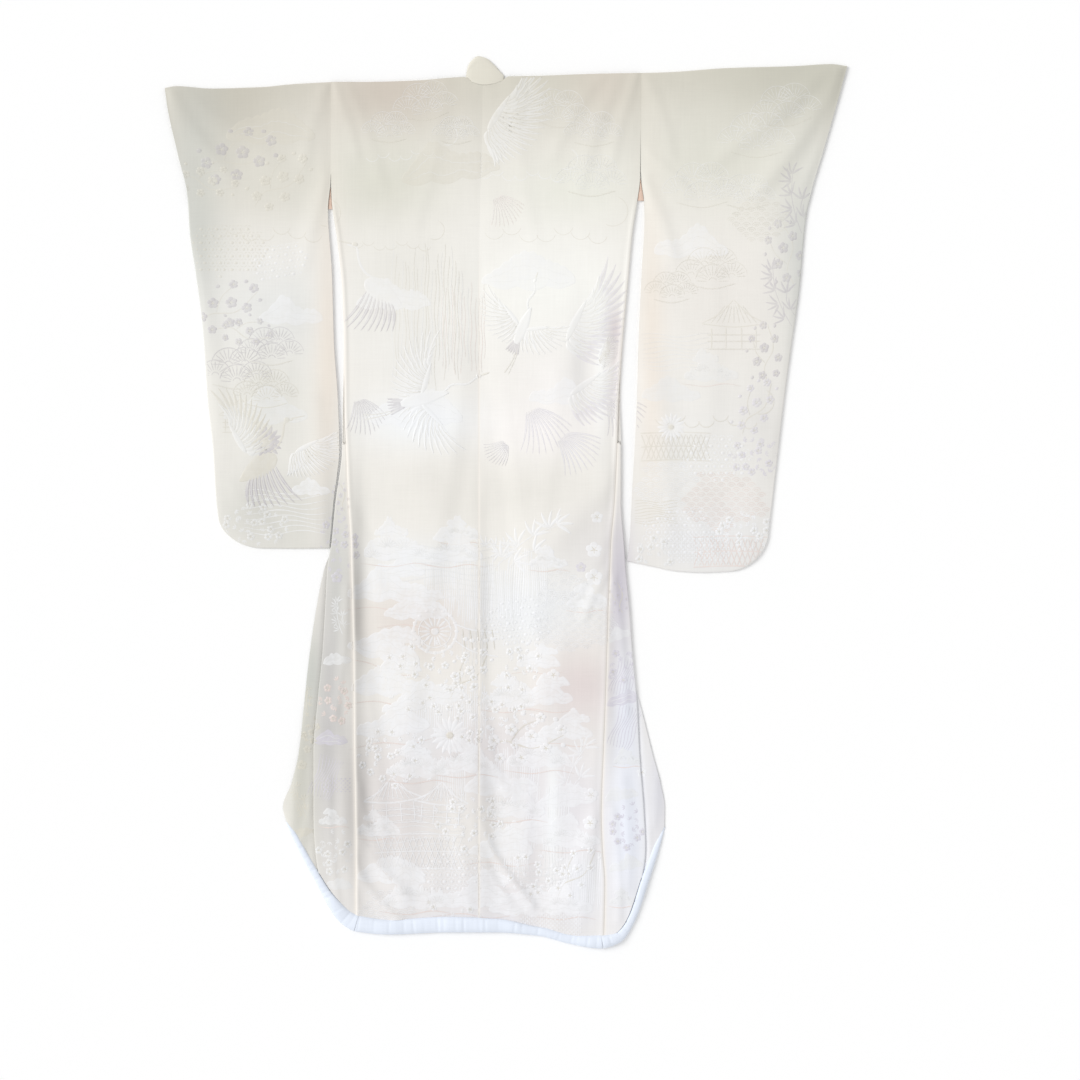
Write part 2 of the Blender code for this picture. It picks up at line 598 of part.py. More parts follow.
make_back("back_left", SEAM_LEFT, CENTRE, GAP / 2, -GAP / 2, BACK_COLS)
make_back("back_right", CENTRE, SEAM_RIGHT, GAP / 2, -GAP / 2,
          tuple(1 - u for u in reversed(BACK_COLS)))
make_front("front_left", FOLD_LEFT, SEAM_LEFT, OPEN_LEFT, -1)
make_front("front_right", FOLD_RIGHT, SEAM_RIGHT, OPEN_RIGHT, 1)
make_okumi("okumi_left", "outer_left", OPEN_LEFT, HEM_INSIDE[0])
make_okumi("okumi_right", "outer_right", OPEN_RIGHT, HEM_INSIDE[-1])
make_sleeve("sleeve_left", SLEEVES["left"])
make_sleeve("sleeve_right", SLEEVES["right"])
make_collar()
make_band("collar_left", OPEN_LEFT, 1)
make_band("collar_right", OPEN_RIGHT, -1)
LEFT_SEAM_STEP, RIGHT_SEAM_STEP = hem_step(SEAM_LEFT(HEM[6].y)), hem_step(SEAM_RIGHT(HEM[12].y))
make_hem("hem_left", 0, LEFT_SEAM_STEP)
make_hem("hem_back", LEFT_SEAM_STEP, RIGHT_SEAM_STEP)
make_hem("hem_right", RIGHT_SEAM_STEP, HEM_STEPS)
make_sliver("lining_left", SEAM_LEFT, SLEEVES["left"].inner, -1, SLIT_LEFT)
make_sliver("lining_right", SEAM_RIGHT, SLEEVES["right"].inner, 1, SLIT_RIGHT)
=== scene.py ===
"""Uchikake wedding kimono, laid flat with its back upward: the looks.

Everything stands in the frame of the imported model: metres, +Z up, the collar
towards +Y, the wearer's left at -X.  Each panel of cloth is a thin shell on the
form of its solid, with its creases; the woven figures are raised floats of
thread that lie on the panels; the hem is a padded roll with its gathers.
"""
from __future__ import annotations

import logging
from dataclasses import dataclass, field
from enum import Enum
from math import copysign, cos, pi, radians, sin
from typing import Callable, Dict, Iterable, List, NamedTuple, Optional, Sequence, Tuple

import bmesh
import bpy
import numpy as np
from mathutils.bvhtree import BVHTree
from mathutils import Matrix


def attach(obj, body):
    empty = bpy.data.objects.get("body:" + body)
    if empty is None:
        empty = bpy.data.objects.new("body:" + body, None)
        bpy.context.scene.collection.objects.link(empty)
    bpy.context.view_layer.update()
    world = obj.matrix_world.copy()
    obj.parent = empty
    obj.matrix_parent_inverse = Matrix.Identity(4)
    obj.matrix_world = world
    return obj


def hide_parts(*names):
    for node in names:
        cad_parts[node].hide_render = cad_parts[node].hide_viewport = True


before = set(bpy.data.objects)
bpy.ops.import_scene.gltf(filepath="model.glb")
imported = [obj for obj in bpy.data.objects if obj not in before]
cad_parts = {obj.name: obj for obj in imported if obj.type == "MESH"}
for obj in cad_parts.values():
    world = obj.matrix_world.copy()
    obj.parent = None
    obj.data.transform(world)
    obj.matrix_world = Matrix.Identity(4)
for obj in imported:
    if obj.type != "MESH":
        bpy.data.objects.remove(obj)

Array = np.ndarray
Line = Callable[[Array], Array]
Material = bpy.types.Material
Piece = bpy.types.Object
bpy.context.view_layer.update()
LOG = logging.getLogger("uchikake")

# ------------------------------------------------------------------ sizes
CLOTH = 0.0018          # height of one layer of lined silk
WALL = 0.0012           # wall of the visible shells
STEP = 0.0022           # pitch of layers that lie on each other
GAP = 0.0003            # clearance at a seam
FOLD_REACH = 0.002      # how far a turned fold swells beyond its line
SLEEVE_EDGE = 0.0048    # height of a sleeve's rounded rim, both leaves together
COLLAR_BAND = 0.055     # width of the collar as folded
BAND_INSET = 0.012      # the front bands start this far below the shoulder
BAND_NECK = 0.45        # share of the band's width at the neck
BAND_SPREAD = 0.28      # length over which it spreads to its full width
COLLAR_WALL = 0.0024    # the doubled collar cloth
COLLAR_END = 0.0        # y at which the front bands end
LEAF_START = 0.12       # y below which a front shows beyond the side seam
RISE_TOP = 0.25         # y from which the front starts to lift onto the okumi
RISE_END = 0.10         # y at which it lies wholly on it
DIP = 0.045             # width over which the back sinks between the fronts
PUFF = 0.0020           # how far a panel stands proud between its seams
PUFF_REACH = 0.045      # how far from a seam it takes to stand so
HEM_HEIGHT = 0.014      # height of the padded roll
HEM_FULLNESS = 0.55     # most that its height may be, as a share of its width
HEM_LAP = 0.0012        # the panels run this far under the hem roll's shoulder
SEAM_LAP = 0.0010       # the sleeve laps under the body this far at the armhole seam
FOLD_SHARE = 0.62       # the silk lies this much flatter than its solids' folds
CELL = 0.005            # spacing of the visible cloth's points
BODY_TALL = 1.70        # shoulder to hem, for spacing the points down a panel
BACK_WIDE = 0.27        # one back panel, for spacing the points across it
SLEEVE_WIDE = 0.30      # a sleeve across, for the same
SLEEVE_TALL = 0.95      # a sleeve from top to bottom, for the same
DOME_TALL = 0.045       # the collar behind the neck, from its free edge to its seam
PATCH_FALL = 1.2        # how fast a patch of the silk's tone, and one of painted light and shade, fades at its reach
PUFF_RISE = 1.6         # how fast a panel rises from its seam
STEEP_SIDE = 0.78       # a fold's steeper side, as a share of its reach
GENTLE_SIDE = 1.15      # its gentler side
FOLD_HOLLOW = 0.22      # depth of the hollow beside a fold, as a share of its height
RIPPLE = 0.00035        # how uneven the laid silk is
SEAM_HIGHLIGHT_SHARE = 0.75       # how much of a pressed seam's colour is its painted highlight
SEAM_TOP = 0.55         # y above which that painted highlight is gone


class Body(NamedTuple):
    """A section across the body: where its folds, seams and front edges stand."""

    y: float
    fold_left: float
    seam_left: float
    open_left: float
    centre: float
    open_right: float
    seam_right: float
    fold_right: float


BODY = (
    Body(0.860, -0.350, -0.350, -0.092, -0.046, -0.002, 0.270, 0.270),
    Body(0.650, -0.350, -0.350, -0.105, -0.050, 0.012, 0.268, 0.268),
    Body(0.600, -0.348, -0.348, -0.110, -0.052, 0.017, 0.262, 0.262),
    Body(0.530, -0.338, -0.338, -0.116, -0.053, 0.024, 0.252, 0.252),
    Body(0.420, -0.327, -0.327, -0.126, -0.054, 0.036, 0.242, 0.242),
    Body(0.320, -0.324, -0.324, -0.137, -0.054, 0.047, 0.233, 0.233),
    Body(0.200, -0.326, -0.323, -0.150, -0.054, 0.060, 0.225, 0.228),
    Body(0.100, -0.328, -0.319, -0.166, -0.054, 0.075, 0.222, 0.230),
    Body(0.000, -0.341, -0.315, -0.185, -0.054, 0.090, 0.217, 0.230),
    Body(-0.080, -0.349, -0.310, -0.200, -0.054, 0.102, 0.210, 0.236),
    Body(-0.130, -0.357, -0.309, -0.210, -0.054, 0.110, 0.208, 0.239),
    Body(-0.200, -0.361, -0.307, -0.222, -0.054, 0.119, 0.205, 0.246),
    Body(-0.300, -0.367, -0.305, -0.240, -0.054, 0.130, 0.202, 0.253),
    Body(-0.400, -0.377, -0.304, -0.253, -0.054, 0.141, 0.199, 0.262),
    Body(-0.500, -0.385, -0.303, -0.262, -0.054, 0.148, 0.195, 0.267),
    Body(-0.620, -0.385, -0.301, -0.267, -0.054, 0.152, 0.191, 0.276),
    Body(-0.690, -0.382, -0.300, -0.269, -0.054, 0.154, 0.193, 0.279),
    Body(-0.760, -0.371, -0.300, -0.270, -0.054, 0.156, 0.198, 0.271),
    Body(-0.860, -0.350, -0.300, -0.270, -0.054, 0.158, 0.196, 0.255),
)


class Okumi(NamedTuple):
    """Outer edges of the two extra front panels at one height."""

    y: float
    outer_left: float
    outer_right: float


OKUMI = (
    Okumi(0.1, -0.3, 0.19), Okumi(0.0, -0.325, 0.212), Okumi(-0.08, -0.342, 0.226),
    Okumi(-0.13, -0.362, 0.233), Okumi(-0.2, -0.377, 0.241), Okumi(-0.3, -0.392, 0.25),
    Okumi(-0.37, -0.4, 0.259), Okumi(-0.4, -0.403, 0.267), Okumi(-0.5, -0.414, 0.292),
    Okumi(-0.56, -0.428, 0.308), Okumi(-0.61, -0.446, 0.317),
)

SHOULDER = (
    (-0.35, 0.84), (-0.286, 0.84), (-0.176, 0.843), (-0.116, 0.848), (-0.082, 0.85),
    (-0.066, 0.839), (-0.046, 0.834), (-0.026, 0.836), (-0.008, 0.842), (0.004, 0.851),
    (0.058, 0.852), (0.168, 0.856), (0.27, 0.858),
)


class Hem(NamedTuple):
    """A section across the padded hem: its outer edge and its width."""

    x: float
    y: float
    width: float


HEM = (
    Hem(-0.44, -0.64, 0.003), Hem(-0.428, -0.668, 0.011), Hem(-0.4, -0.724, 0.014),
    Hem(-0.374, -0.772, 0.017), Hem(-0.355, -0.808, 0.025), Hem(-0.334, -0.838, 0.031),
    Hem(-0.3, -0.858, 0.033), Hem(-0.234, -0.864, 0.03), Hem(-0.118, -0.86, 0.032),
    Hem(-0.02, -0.86, 0.028), Hem(0.066, -0.867, 0.018), Hem(0.124, -0.882, 0.019),
    Hem(0.188, -0.892, 0.027), Hem(0.228, -0.88, 0.022), Hem(0.258, -0.836, 0.016),
    Hem(0.284, -0.762, 0.016), Hem(0.304, -0.7, 0.013), Hem(0.318, -0.65, 0.003),
)


class SleeveCut(NamedTuple):
    """A sleeve's four edges, and the centre and half axes of its round corner."""

    top: Sequence[Tuple[float, float]]
    outer: Sequence[Tuple[float, float]]
    cuff_end: float
    corner: Tuple[float, float, float, float]
    bottom: Sequence[Tuple[float, float]]
    inner: Sequence[Tuple[float, float]]


SLEEVES: Dict[str, SleeveCut] = {
    "left": SleeveCut(
        top=((-0.35, 0.84), (-0.424, 0.836), (-0.488, 0.83), (-0.588, 0.827),
             (-0.66, 0.832), (-0.682, 0.828)),
        outer=((-0.682, 0.828), (-0.676, 0.786), (-0.654, 0.688), (-0.637, 0.616),
               (-0.632, 0.54), (-0.62, 0.458), (-0.606, 0.348), (-0.596, 0.204),
               (-0.586, 0.112), (-0.579, 0.004), (-0.576, -0.022)),
        cuff_end=0.616,
        corner=(-0.484, -0.022, -0.092, 0.07),
        bottom=((-0.484, -0.092), (-0.42, -0.0925), (-0.353, -0.092)),
        inner=((-0.35, 0.84), (-0.3505, 0.648), (-0.356, 0.584), (-0.348, 0.458),
               (-0.344, 0.32), (-0.336, 0.204), (-0.333, 0.104), (-0.338, 0.052),
               (-0.344, 0.008), (-0.348, -0.034), (-0.353, -0.092)),
    ),
    "right": SleeveCut(
        top=((0.27, 0.858), (0.33, 0.86), (0.442, 0.868), (0.578, 0.872),
             (0.65, 0.876), (0.682, 0.872)),
        outer=((0.682, 0.872), (0.661, 0.796), (0.634, 0.702), (0.608, 0.612),
               (0.598, 0.552), (0.587, 0.43), (0.568, 0.294), (0.556, 0.204),
               (0.542, 0.084), (0.532, -0.002), (0.526, -0.054)),
        cuff_end=0.612,
        corner=(0.44, -0.054, 0.086, 0.085),
        bottom=((0.44, -0.139), (0.394, -0.141), (0.34, -0.138), (0.294, -0.129),
                (0.242, -0.118)),
        inner=((0.27, 0.858), (0.2705, 0.648), (0.276, 0.6), (0.277, 0.568),
               (0.272, 0.468), (0.265, 0.32), (0.262, 0.212), (0.257, 0.104),
               (0.252, 0.018), (0.249, -0.048), (0.246, -0.088), (0.242, -0.118)),
    ),
}

COLLAR_DOME = ((-0.08, 0.853), (-0.076, 0.872), (-0.068, 0.884), (-0.056, 0.892),
               (-0.04, 0.888), (-0.026, 0.877), (-0.014, 0.864), (-0.004, 0.853))


class Fold(NamedTuple):
    """A soft ridge: its two ends, half its width, its height, and its sideways bow."""

    x0: float
    y0: float
    x1: float
    y1: float
    reach: float
    height: float
    bow: float = 0.0


BODY_FOLDS = (
    Fold(-0.29, -0.3, -0.25, -0.7, 0.02, 0.006, 0.006),
    Fold(-0.286, -0.68, -0.205, -0.775, 0.013, 0.007, -0.006),
    Fold(-0.294, -0.74, -0.215, -0.835, 0.012, 0.006, -0.006),
    Fold(-0.05, -0.43, -0.005, -0.57, 0.014, 0.005, -0.004),
    Fold(-0.05, -0.65, 0.05, -0.8, 0.01, 0.0085, -0.008),
    Fold(-0.05, -0.7, 0.0, -0.784, 0.009, 0.004, -0.005),
    Fold(-0.048, -0.76, 0.024, -0.822, 0.01, 0.003, -0.004),
    Fold(0.06, -0.42, 0.03, -0.78, 0.034, 0.005, 0.006),
    Fold(0.21, 0.05, 0.11, -0.06, 0.03, 0.005, 0.006), Fold(0.185, 0.34, 0.18, 0.09, 0.028, 0.004, 0.004),
    Fold(0.13, -0.78, 0.18, -0.64, 0.024, 0.005, 0.006), Fold(-0.2, 0.3, -0.16, -0.1, 0.045, 0.003, 0.01),
    Fold(-0.345, 0.836, -0.3, 0.7, 0.012, 0.0024, 0.004),
    Fold(-0.32, 0.838, -0.25, 0.64, 0.015, 0.002, 0.006),
    Fold(0.262, 0.85, 0.215, 0.69, 0.012, 0.0028, -0.004),
    Fold(0.23, 0.854, 0.15, 0.64, 0.016, 0.0022, -0.008),
    Fold(0.19, 0.852, 0.1, 0.7, 0.014, 0.0018, -0.006),
    Fold(-0.12, 0.84, -0.18, 0.56, 0.018, 0.0016, 0.008),
    Fold(0.02, 0.84, 0.06, 0.52, 0.018, 0.0018, -0.008),
    Fold(0.222, -0.04, 0.15, -0.17, 0.014, 0.0022, 0.006),
    Fold(-0.308, -0.02, -0.25, -0.18, 0.014, 0.0018, 0.006),
    Fold(-0.18, -0.42, -0.15, -0.76, 0.03, 0.0028, 0.01),
    Fold(0.11, -0.3, 0.1, -0.62, 0.022, 0.0024, -0.008),
    Fold(0.18, -0.5, 0.15, -0.84, 0.014, 0.0026, 0.006),
    Fold(-0.1, -0.56, -0.07, -0.8, 0.016, 0.0022, -0.006),
    Fold(0.1, 0.25, 0.07, -0.05, 0.02, 0.002, 0.008), Fold(-0.1, 0.5, -0.11, 0.1, 0.024, 0.0018, 0.01),
    Fold(-0.294, -0.57, -0.262, -0.69, 0.011, 0.005, -0.004),
    Fold(0.2, -0.15, 0.16, -0.225, 0.011, 0.004, -0.006),
    Fold(0.0, -0.43, 0.01, -0.6, 0.016, 0.003, 0.006),
)
SIDE_FOLDS = (
    Fold(-0.425, -0.64, -0.4, -0.42, 0.012, 0.004, 0.004),
    Fold(-0.414, -0.69, -0.392, -0.6, 0.007, 0.003, -0.003),
    Fold(-0.34, -0.42, -0.33, -0.7, 0.016, 0.005, 0.006),
    Fold(-0.318, -0.18, -0.34, -0.42, 0.01, 0.003, 0.004),
    Fold(-0.352, -0.56, -0.336, -0.79, 0.009, 0.003, -0.005),
    Fold(0.232, -0.56, 0.24, -0.76, 0.016, 0.005, 0.006),
    Fold(0.214, -0.62, 0.226, -0.83, 0.009, 0.003, 0.004),
    Fold(0.216, -0.16, 0.24, -0.42, 0.01, 0.003, 0.004),
    Fold(0.3, -0.56, 0.296, -0.64, 0.01, 0.003, 0.003),
    Fold(0.282, -0.64, 0.288, -0.72, 0.006, 0.002, 0.003),
)
SLEEVE_FOLDS = (
    Fold(0.672, 0.868, 0.52, 0.64, 0.02, 0.006, 0.008), Fold(0.64, 0.87, 0.44, 0.7, 0.02, 0.004, 0.01),
    Fold(0.276, 0.64, 0.33, 0.5, 0.016, 0.004, 0.006), Fold(0.5, 0.2, 0.48, -0.08, 0.035, 0.004, 0.01),
    Fold(0.3, 0.24, 0.32, -0.06, 0.026, 0.003, 0.006),
    Fold(-0.67, 0.82, -0.56, 0.66, 0.02, 0.005, -0.006),
    Fold(-0.356, 0.64, -0.4, 0.48, 0.016, 0.003, -0.006), Fold(-0.5, 0.3, -0.52, 0.0, 0.035, 0.004, 0.01),
    Fold(-0.38, 0.2, -0.37, -0.06, 0.02, 0.003, 0.004),
    Fold(0.676, 0.86, 0.6, 0.64, 0.012, 0.0028, 0.006), Fold(0.28, 0.85, 0.33, 0.7, 0.013, 0.0024, 0.006),
    Fold(0.284, 0.7, 0.36, 0.62, 0.01, 0.002, 0.004),
    Fold(-0.356, 0.832, -0.4, 0.68, 0.013, 0.0022, -0.006),
    Fold(-0.64, 0.824, -0.48, 0.7, 0.018, 0.0026, -0.008),
    Fold(-0.62, 0.5, -0.57, 0.16, 0.018, 0.0022, 0.006),
    Fold(0.59, 0.44, 0.53, 0.1, 0.018, 0.0022, 0.006), Fold(0.34, 0.0, 0.42, -0.11, 0.016, 0.0022, 0.006),
    Fold(-0.54, 0.02, -0.46, -0.07, 0.014, 0.002, 0.004),
    Fold(0.41, 0.48, 0.4, 0.15, 0.026, 0.0022, 0.01), Fold(-0.44, 0.48, -0.45, 0.16, 0.026, 0.002, 0.008),
)


# ------------------------------------------------------------------ curves
def smooth(knots: Sequence[float], values: Sequence[float], at: Array) -> Array:
    """Shape-keeping cubic through knots, without overshoot.

    Args:
        knots: Places along the axis, rising or falling.
        values: The value at each knot.
        at: Where to read it.

    Returns:
        The values there.
    """
    k_arr = np.asarray(knots, float)
    v_arr = np.asarray(values, float)
    if k_arr[0] > k_arr[-1]:
        k_arr, v_arr = k_arr[::-1], v_arr[::-1]
    spans = np.diff(k_arr)
    rises = np.diff(v_arr) / spans
    slopes = np.zeros_like(v_arr)
    same = rises[:-1] * rises[1:] > 0
    both = rises[:-1] + rises[1:]
    slopes[1:-1][same] = 2 * rises[:-1][same] * rises[1:][same] / both[same]
    slopes[0], slopes[-1] = rises[0], rises[-1]
    place = np.clip(at, k_arr[0], k_arr[-1])
    k = np.clip(np.searchsorted(k_arr, place, side="right") - 1, 0, len(spans) - 1)
    t = (place - k_arr[k]) / spans[k]
    low = v_arr[k] * (1 + 2 * t) * (1 - t) ** 2 + slopes[k] * spans[k] * t * (1 - t) ** 2
    high = v_arr[k + 1] * t * t * (3 - 2 * t) - slopes[k + 1] * spans[k] * t * t * (1 - t)
    return low + high


def column(table: Sequence[NamedTuple], name: str) -> Line:
    """x of one line of a section table, as a function of y."""
    knots = [row.y for row in table]
    values = [getattr(row, name) for row in table]
    return lambda y: smooth(knots, values, y)


def polyline(points: Sequence[Tuple[float, float]]) -> Callable[[Array], Array]:
    """A smooth line through points, read by its share of length.

    Args:
        points: The points it runs through.

    Returns:
        A function from shares between 0 and 1 to points, an array of (x, y) rows.
    """
    given = np.asarray(points, float)
    marks = np.append(0.0, np.cumsum(np.hypot(*np.diff(given, axis=0).T)))
    fine = np.linspace(0.0, marks[-1], 600)
    line = np.column_stack([smooth(marks, given[:, k], fine) for k in (0, 1)])
    reach = np.append(0.0, np.cumsum(np.hypot(*np.diff(line, axis=0).T)))
    reach /= reach[-1]

    def read(share: Array) -> Array:
        """Points at those shares of the length."""
        t = np.asarray(share, float)
        return side_by_side(np.interp(t, reach, line[:, 0]), np.interp(t, reach, line[:, 1]))
    return read


def side_by_side(*columns: Array) -> Array:
    """Columns of numbers joined into rows, such as x and y into points."""
    return np.stack(columns, -1)


def ease(t: Array) -> Array:
    """0 below 0, 1 above 1, a soft step between."""
    t = np.clip(t, 0.0, 1.0)
    return t * t * (3 - 2 * t)


def coons(top: Callable, bottom: Callable, left: Callable, right: Callable) -> Callable:
    """Coons patch between four edges.

    Args:
        top: Edge at v = 0, read by u.
        bottom: Edge at v = 1, read by u.
        left: Edge at u = 0, read by v.
        right: Edge at u = 1, read by v.

    Returns:
        A function from (u, v) arrays to points, with x and y last.
    """
    zero, one = np.array(0.0), np.array(1.0)
    c00, c10, c01, c11 = top(zero), top(one), bottom(zero), bottom(one)

    def point(u: Array, v: Array) -> Array:
        """Points of the patch."""
        uu, vv = np.asarray(u)[..., None], np.asarray(v)[..., None]
        edges = (1 - vv) * top(u) + vv * bottom(u) + (1 - uu) * left(v) + uu * right(v)
        corners = ((1 - uu) * (1 - vv) * c00 + uu * (1 - vv) * c10
                   + (1 - uu) * vv * c01 + uu * vv * c11)
        return edges - corners
    return point


def spaced(length: float, cell: float, tight: Sequence[float] = ()) -> Array:
    """Shares from 0 to 1 at an even spacing, closer at both ends.

    Args:
        length: The length that the shares stand for.
        cell: The even spacing.
        tight: Distances from each end that get a share of their own.

    Returns:
        The sorted shares.
    """
    inner = max(list(tight) + [0.0])
    count = max(2, round((length - 2 * inner) / cell))
    even = np.linspace(inner, length - inner, count + 1)
    near = np.array([0.0, *tight])
    marks = np.unique(np.round(np.concatenate([near, even, length - near]), 7))
    return marks / length


# ------------------------------------------------------------------ form
class Form:
    """The laid garment's lines and heights, the same as in its solids."""

    def __init__(self) -> None:
        """Work out the hem and the waviness of the cloth."""
        self.fold_left, self.fold_right = column(BODY, "fold_left"), column(BODY, "fold_right")
        self.seam_left, self.seam_right = column(BODY, "seam_left"), column(BODY, "seam_right")
        self.open_left, self.open_right = column(BODY, "open_left"), column(BODY, "open_right")
        self.centre = column(BODY, "centre")
        marks = [(row.x, row.y) for row in HEM]
        lengths = np.append(0.0, np.cumsum(np.hypot(*np.diff(np.array(marks), axis=0).T)))
        self.hem_length = float(lengths[-1])
        self.hem_shares = lengths / lengths[-1]
        self.hem_line = polyline(marks)
        outer, inner, _, width = self.hem_frame(np.linspace(0.0, 1.0, 400))
        self.hem_inside = inner + (outer - inner) * (HEM_LAP / width)[:, None]
        rng = np.random.default_rng(11)
        self.waves = [(rng.uniform(8, 34), rng.uniform(-26, 26), rng.uniform(0, 6.28),
                       rng.uniform(0.4, 1.0)) for _ in range(14)]

    def hem_frame(self, share: Array) -> Tuple[Array, Array, Array, Array]:
        """The padded hem's outer edge, inner edge, direction and width.

        Args:
            share: Shares of the hem's length.

        Returns:
            Outer points, inner points, unit directions along it, and widths.
        """
        outer = self.hem_line(share)
        along = self.hem_line(np.minimum(share + 0.01, 1)) - self.hem_line(np.maximum(share - 0.01, 0))
        along /= np.linalg.norm(along, axis=-1, keepdims=True)
        inward = side_by_side(-along[..., 1], along[..., 0])
        width = smooth(self.hem_shares, [row.width for row in HEM], share)
        return outer, outer + inward * width[..., None], along, width

    def hem_top(self, x: Array) -> Array:
        """y of the padded hem's inner edge, where the panels end."""
        return np.interp(x, self.hem_inside[:, 0], self.hem_inside[:, 1])

    def shoulder(self, x: Array) -> Array:
        """y of the shoulder line."""
        return smooth([p[0] for p in SHOULDER], [p[1] for p in SHOULDER], x)

    def corner(self, line: Line) -> float:
        """y at which a line down the body meets the padded hem."""
        y = np.array(HEM[8].y)
        for _ in range(40):
            y = self.hem_top(line(y))
        return float(y)

    def front_base(self, y: Array) -> Array:
        """Underside of the fronts."""
        return STEP * ease((RISE_TOP - y) / (RISE_TOP - RISE_END))

    def back_base(self, x: Array, y: Array) -> Array:
        """Underside of the back: on the fronts, and on the surface between them."""
        past_left = ease((x - self.open_left(y) - COLLAR_BAND) / DIP)
        past_right = ease((self.open_right(y) - COLLAR_BAND - x) / DIP)
        return (self.front_base(y) + STEP) * (1 - past_left * past_right)

    def folds(self, rows: Iterable[Fold], x: Array, y: Array) -> Array:
        """Height that folds add: each is steeper on one side and fades at its ends.

        Args:
            rows: The folds.
            x: Places across.
            y: Places along.

        Returns:
            The height at each place.
        """
        total = np.zeros_like(x)
        for row in rows:
            run = np.array([row.x1 - row.x0, row.y1 - row.y0])
            length = float(np.hypot(*run))
            along = ((x - row.x0) * run[0] + (y - row.y0) * run[1]) / length ** 2
            side = ((x - row.x0) * -run[1] + (y - row.y0) * run[0]) / length
            side = side - row.bow * 4 * np.clip(along, 0, 1) * (1 - np.clip(along, 0, 1))
            over = np.maximum(np.maximum(-along, along - 1), 0) * length
            reach = row.reach * np.where(side > 0, STEEP_SIDE, GENTLE_SIDE)
            lift = np.exp(-(side / reach) ** 2 - (over / (1.6 * row.reach)) ** 2)
            hollow = FOLD_HOLLOW * np.exp(-((side - 1.9 * reach * np.sign(row.bow or 1)) / reach) ** 2)
            fade = np.exp(-(over / (1.2 * row.reach)) ** 2)
            total += row.height * (lift - hollow * fade)
        return total * FOLD_SHARE

    def ripple(self, x: Array, y: Array) -> Array:
        """Small unevenness of silk laid by hand, never below zero."""
        total = np.zeros_like(x)
        for kx, ky, phase, share in self.waves:
            total += share * np.sin(kx * x + ky * y + phase)
        return RIPPLE * (total / 4 + 1.2).clip(0, None)


FORM = Form()


# ------------------------------------------------------------------ finishes
def linear(hex_colour: str) -> Tuple[float, float, float, float]:
    """Turn an sRGB hex colour into the linear one that shaders use.

    Args:
        hex_colour: Six hex digits.

    Returns:
        Linear red, green, blue and an alpha of 1.
    """
    parts = [int(hex_colour[k:k + 2], 16) / 255 for k in (0, 2, 4)]
    made = [c / 12.92 if c <= 0.04045 else ((c + 0.055) / 1.055) ** 2.4 for c in parts]
    return made[0], made[1], made[2], 1.0


def add_node(tree: bpy.types.NodeTree, kind: str, settings: Optional[dict] = None,
             **links: object) -> bpy.types.Node:
    """Add one shader node with its settings and links.

    Args:
        tree: The material's node tree.
        kind: The node's type name after "ShaderNode".
        settings: Properties of the node, and values of its sockets by name or number.
        links: What feeds a socket: "in0" names a socket by its number.

    Returns:
        The node.
    """
    node = tree.nodes.new("ShaderNode" + kind)
    for name, value in (settings or {}).items():
        if isinstance(name, int) or name in node.inputs:
            node.inputs[name].default_value = value
        else:
            setattr(node, name, value)
    for name, source in links.items():
        tree.links.new(source, node.inputs[int(name[2:])])
    return node


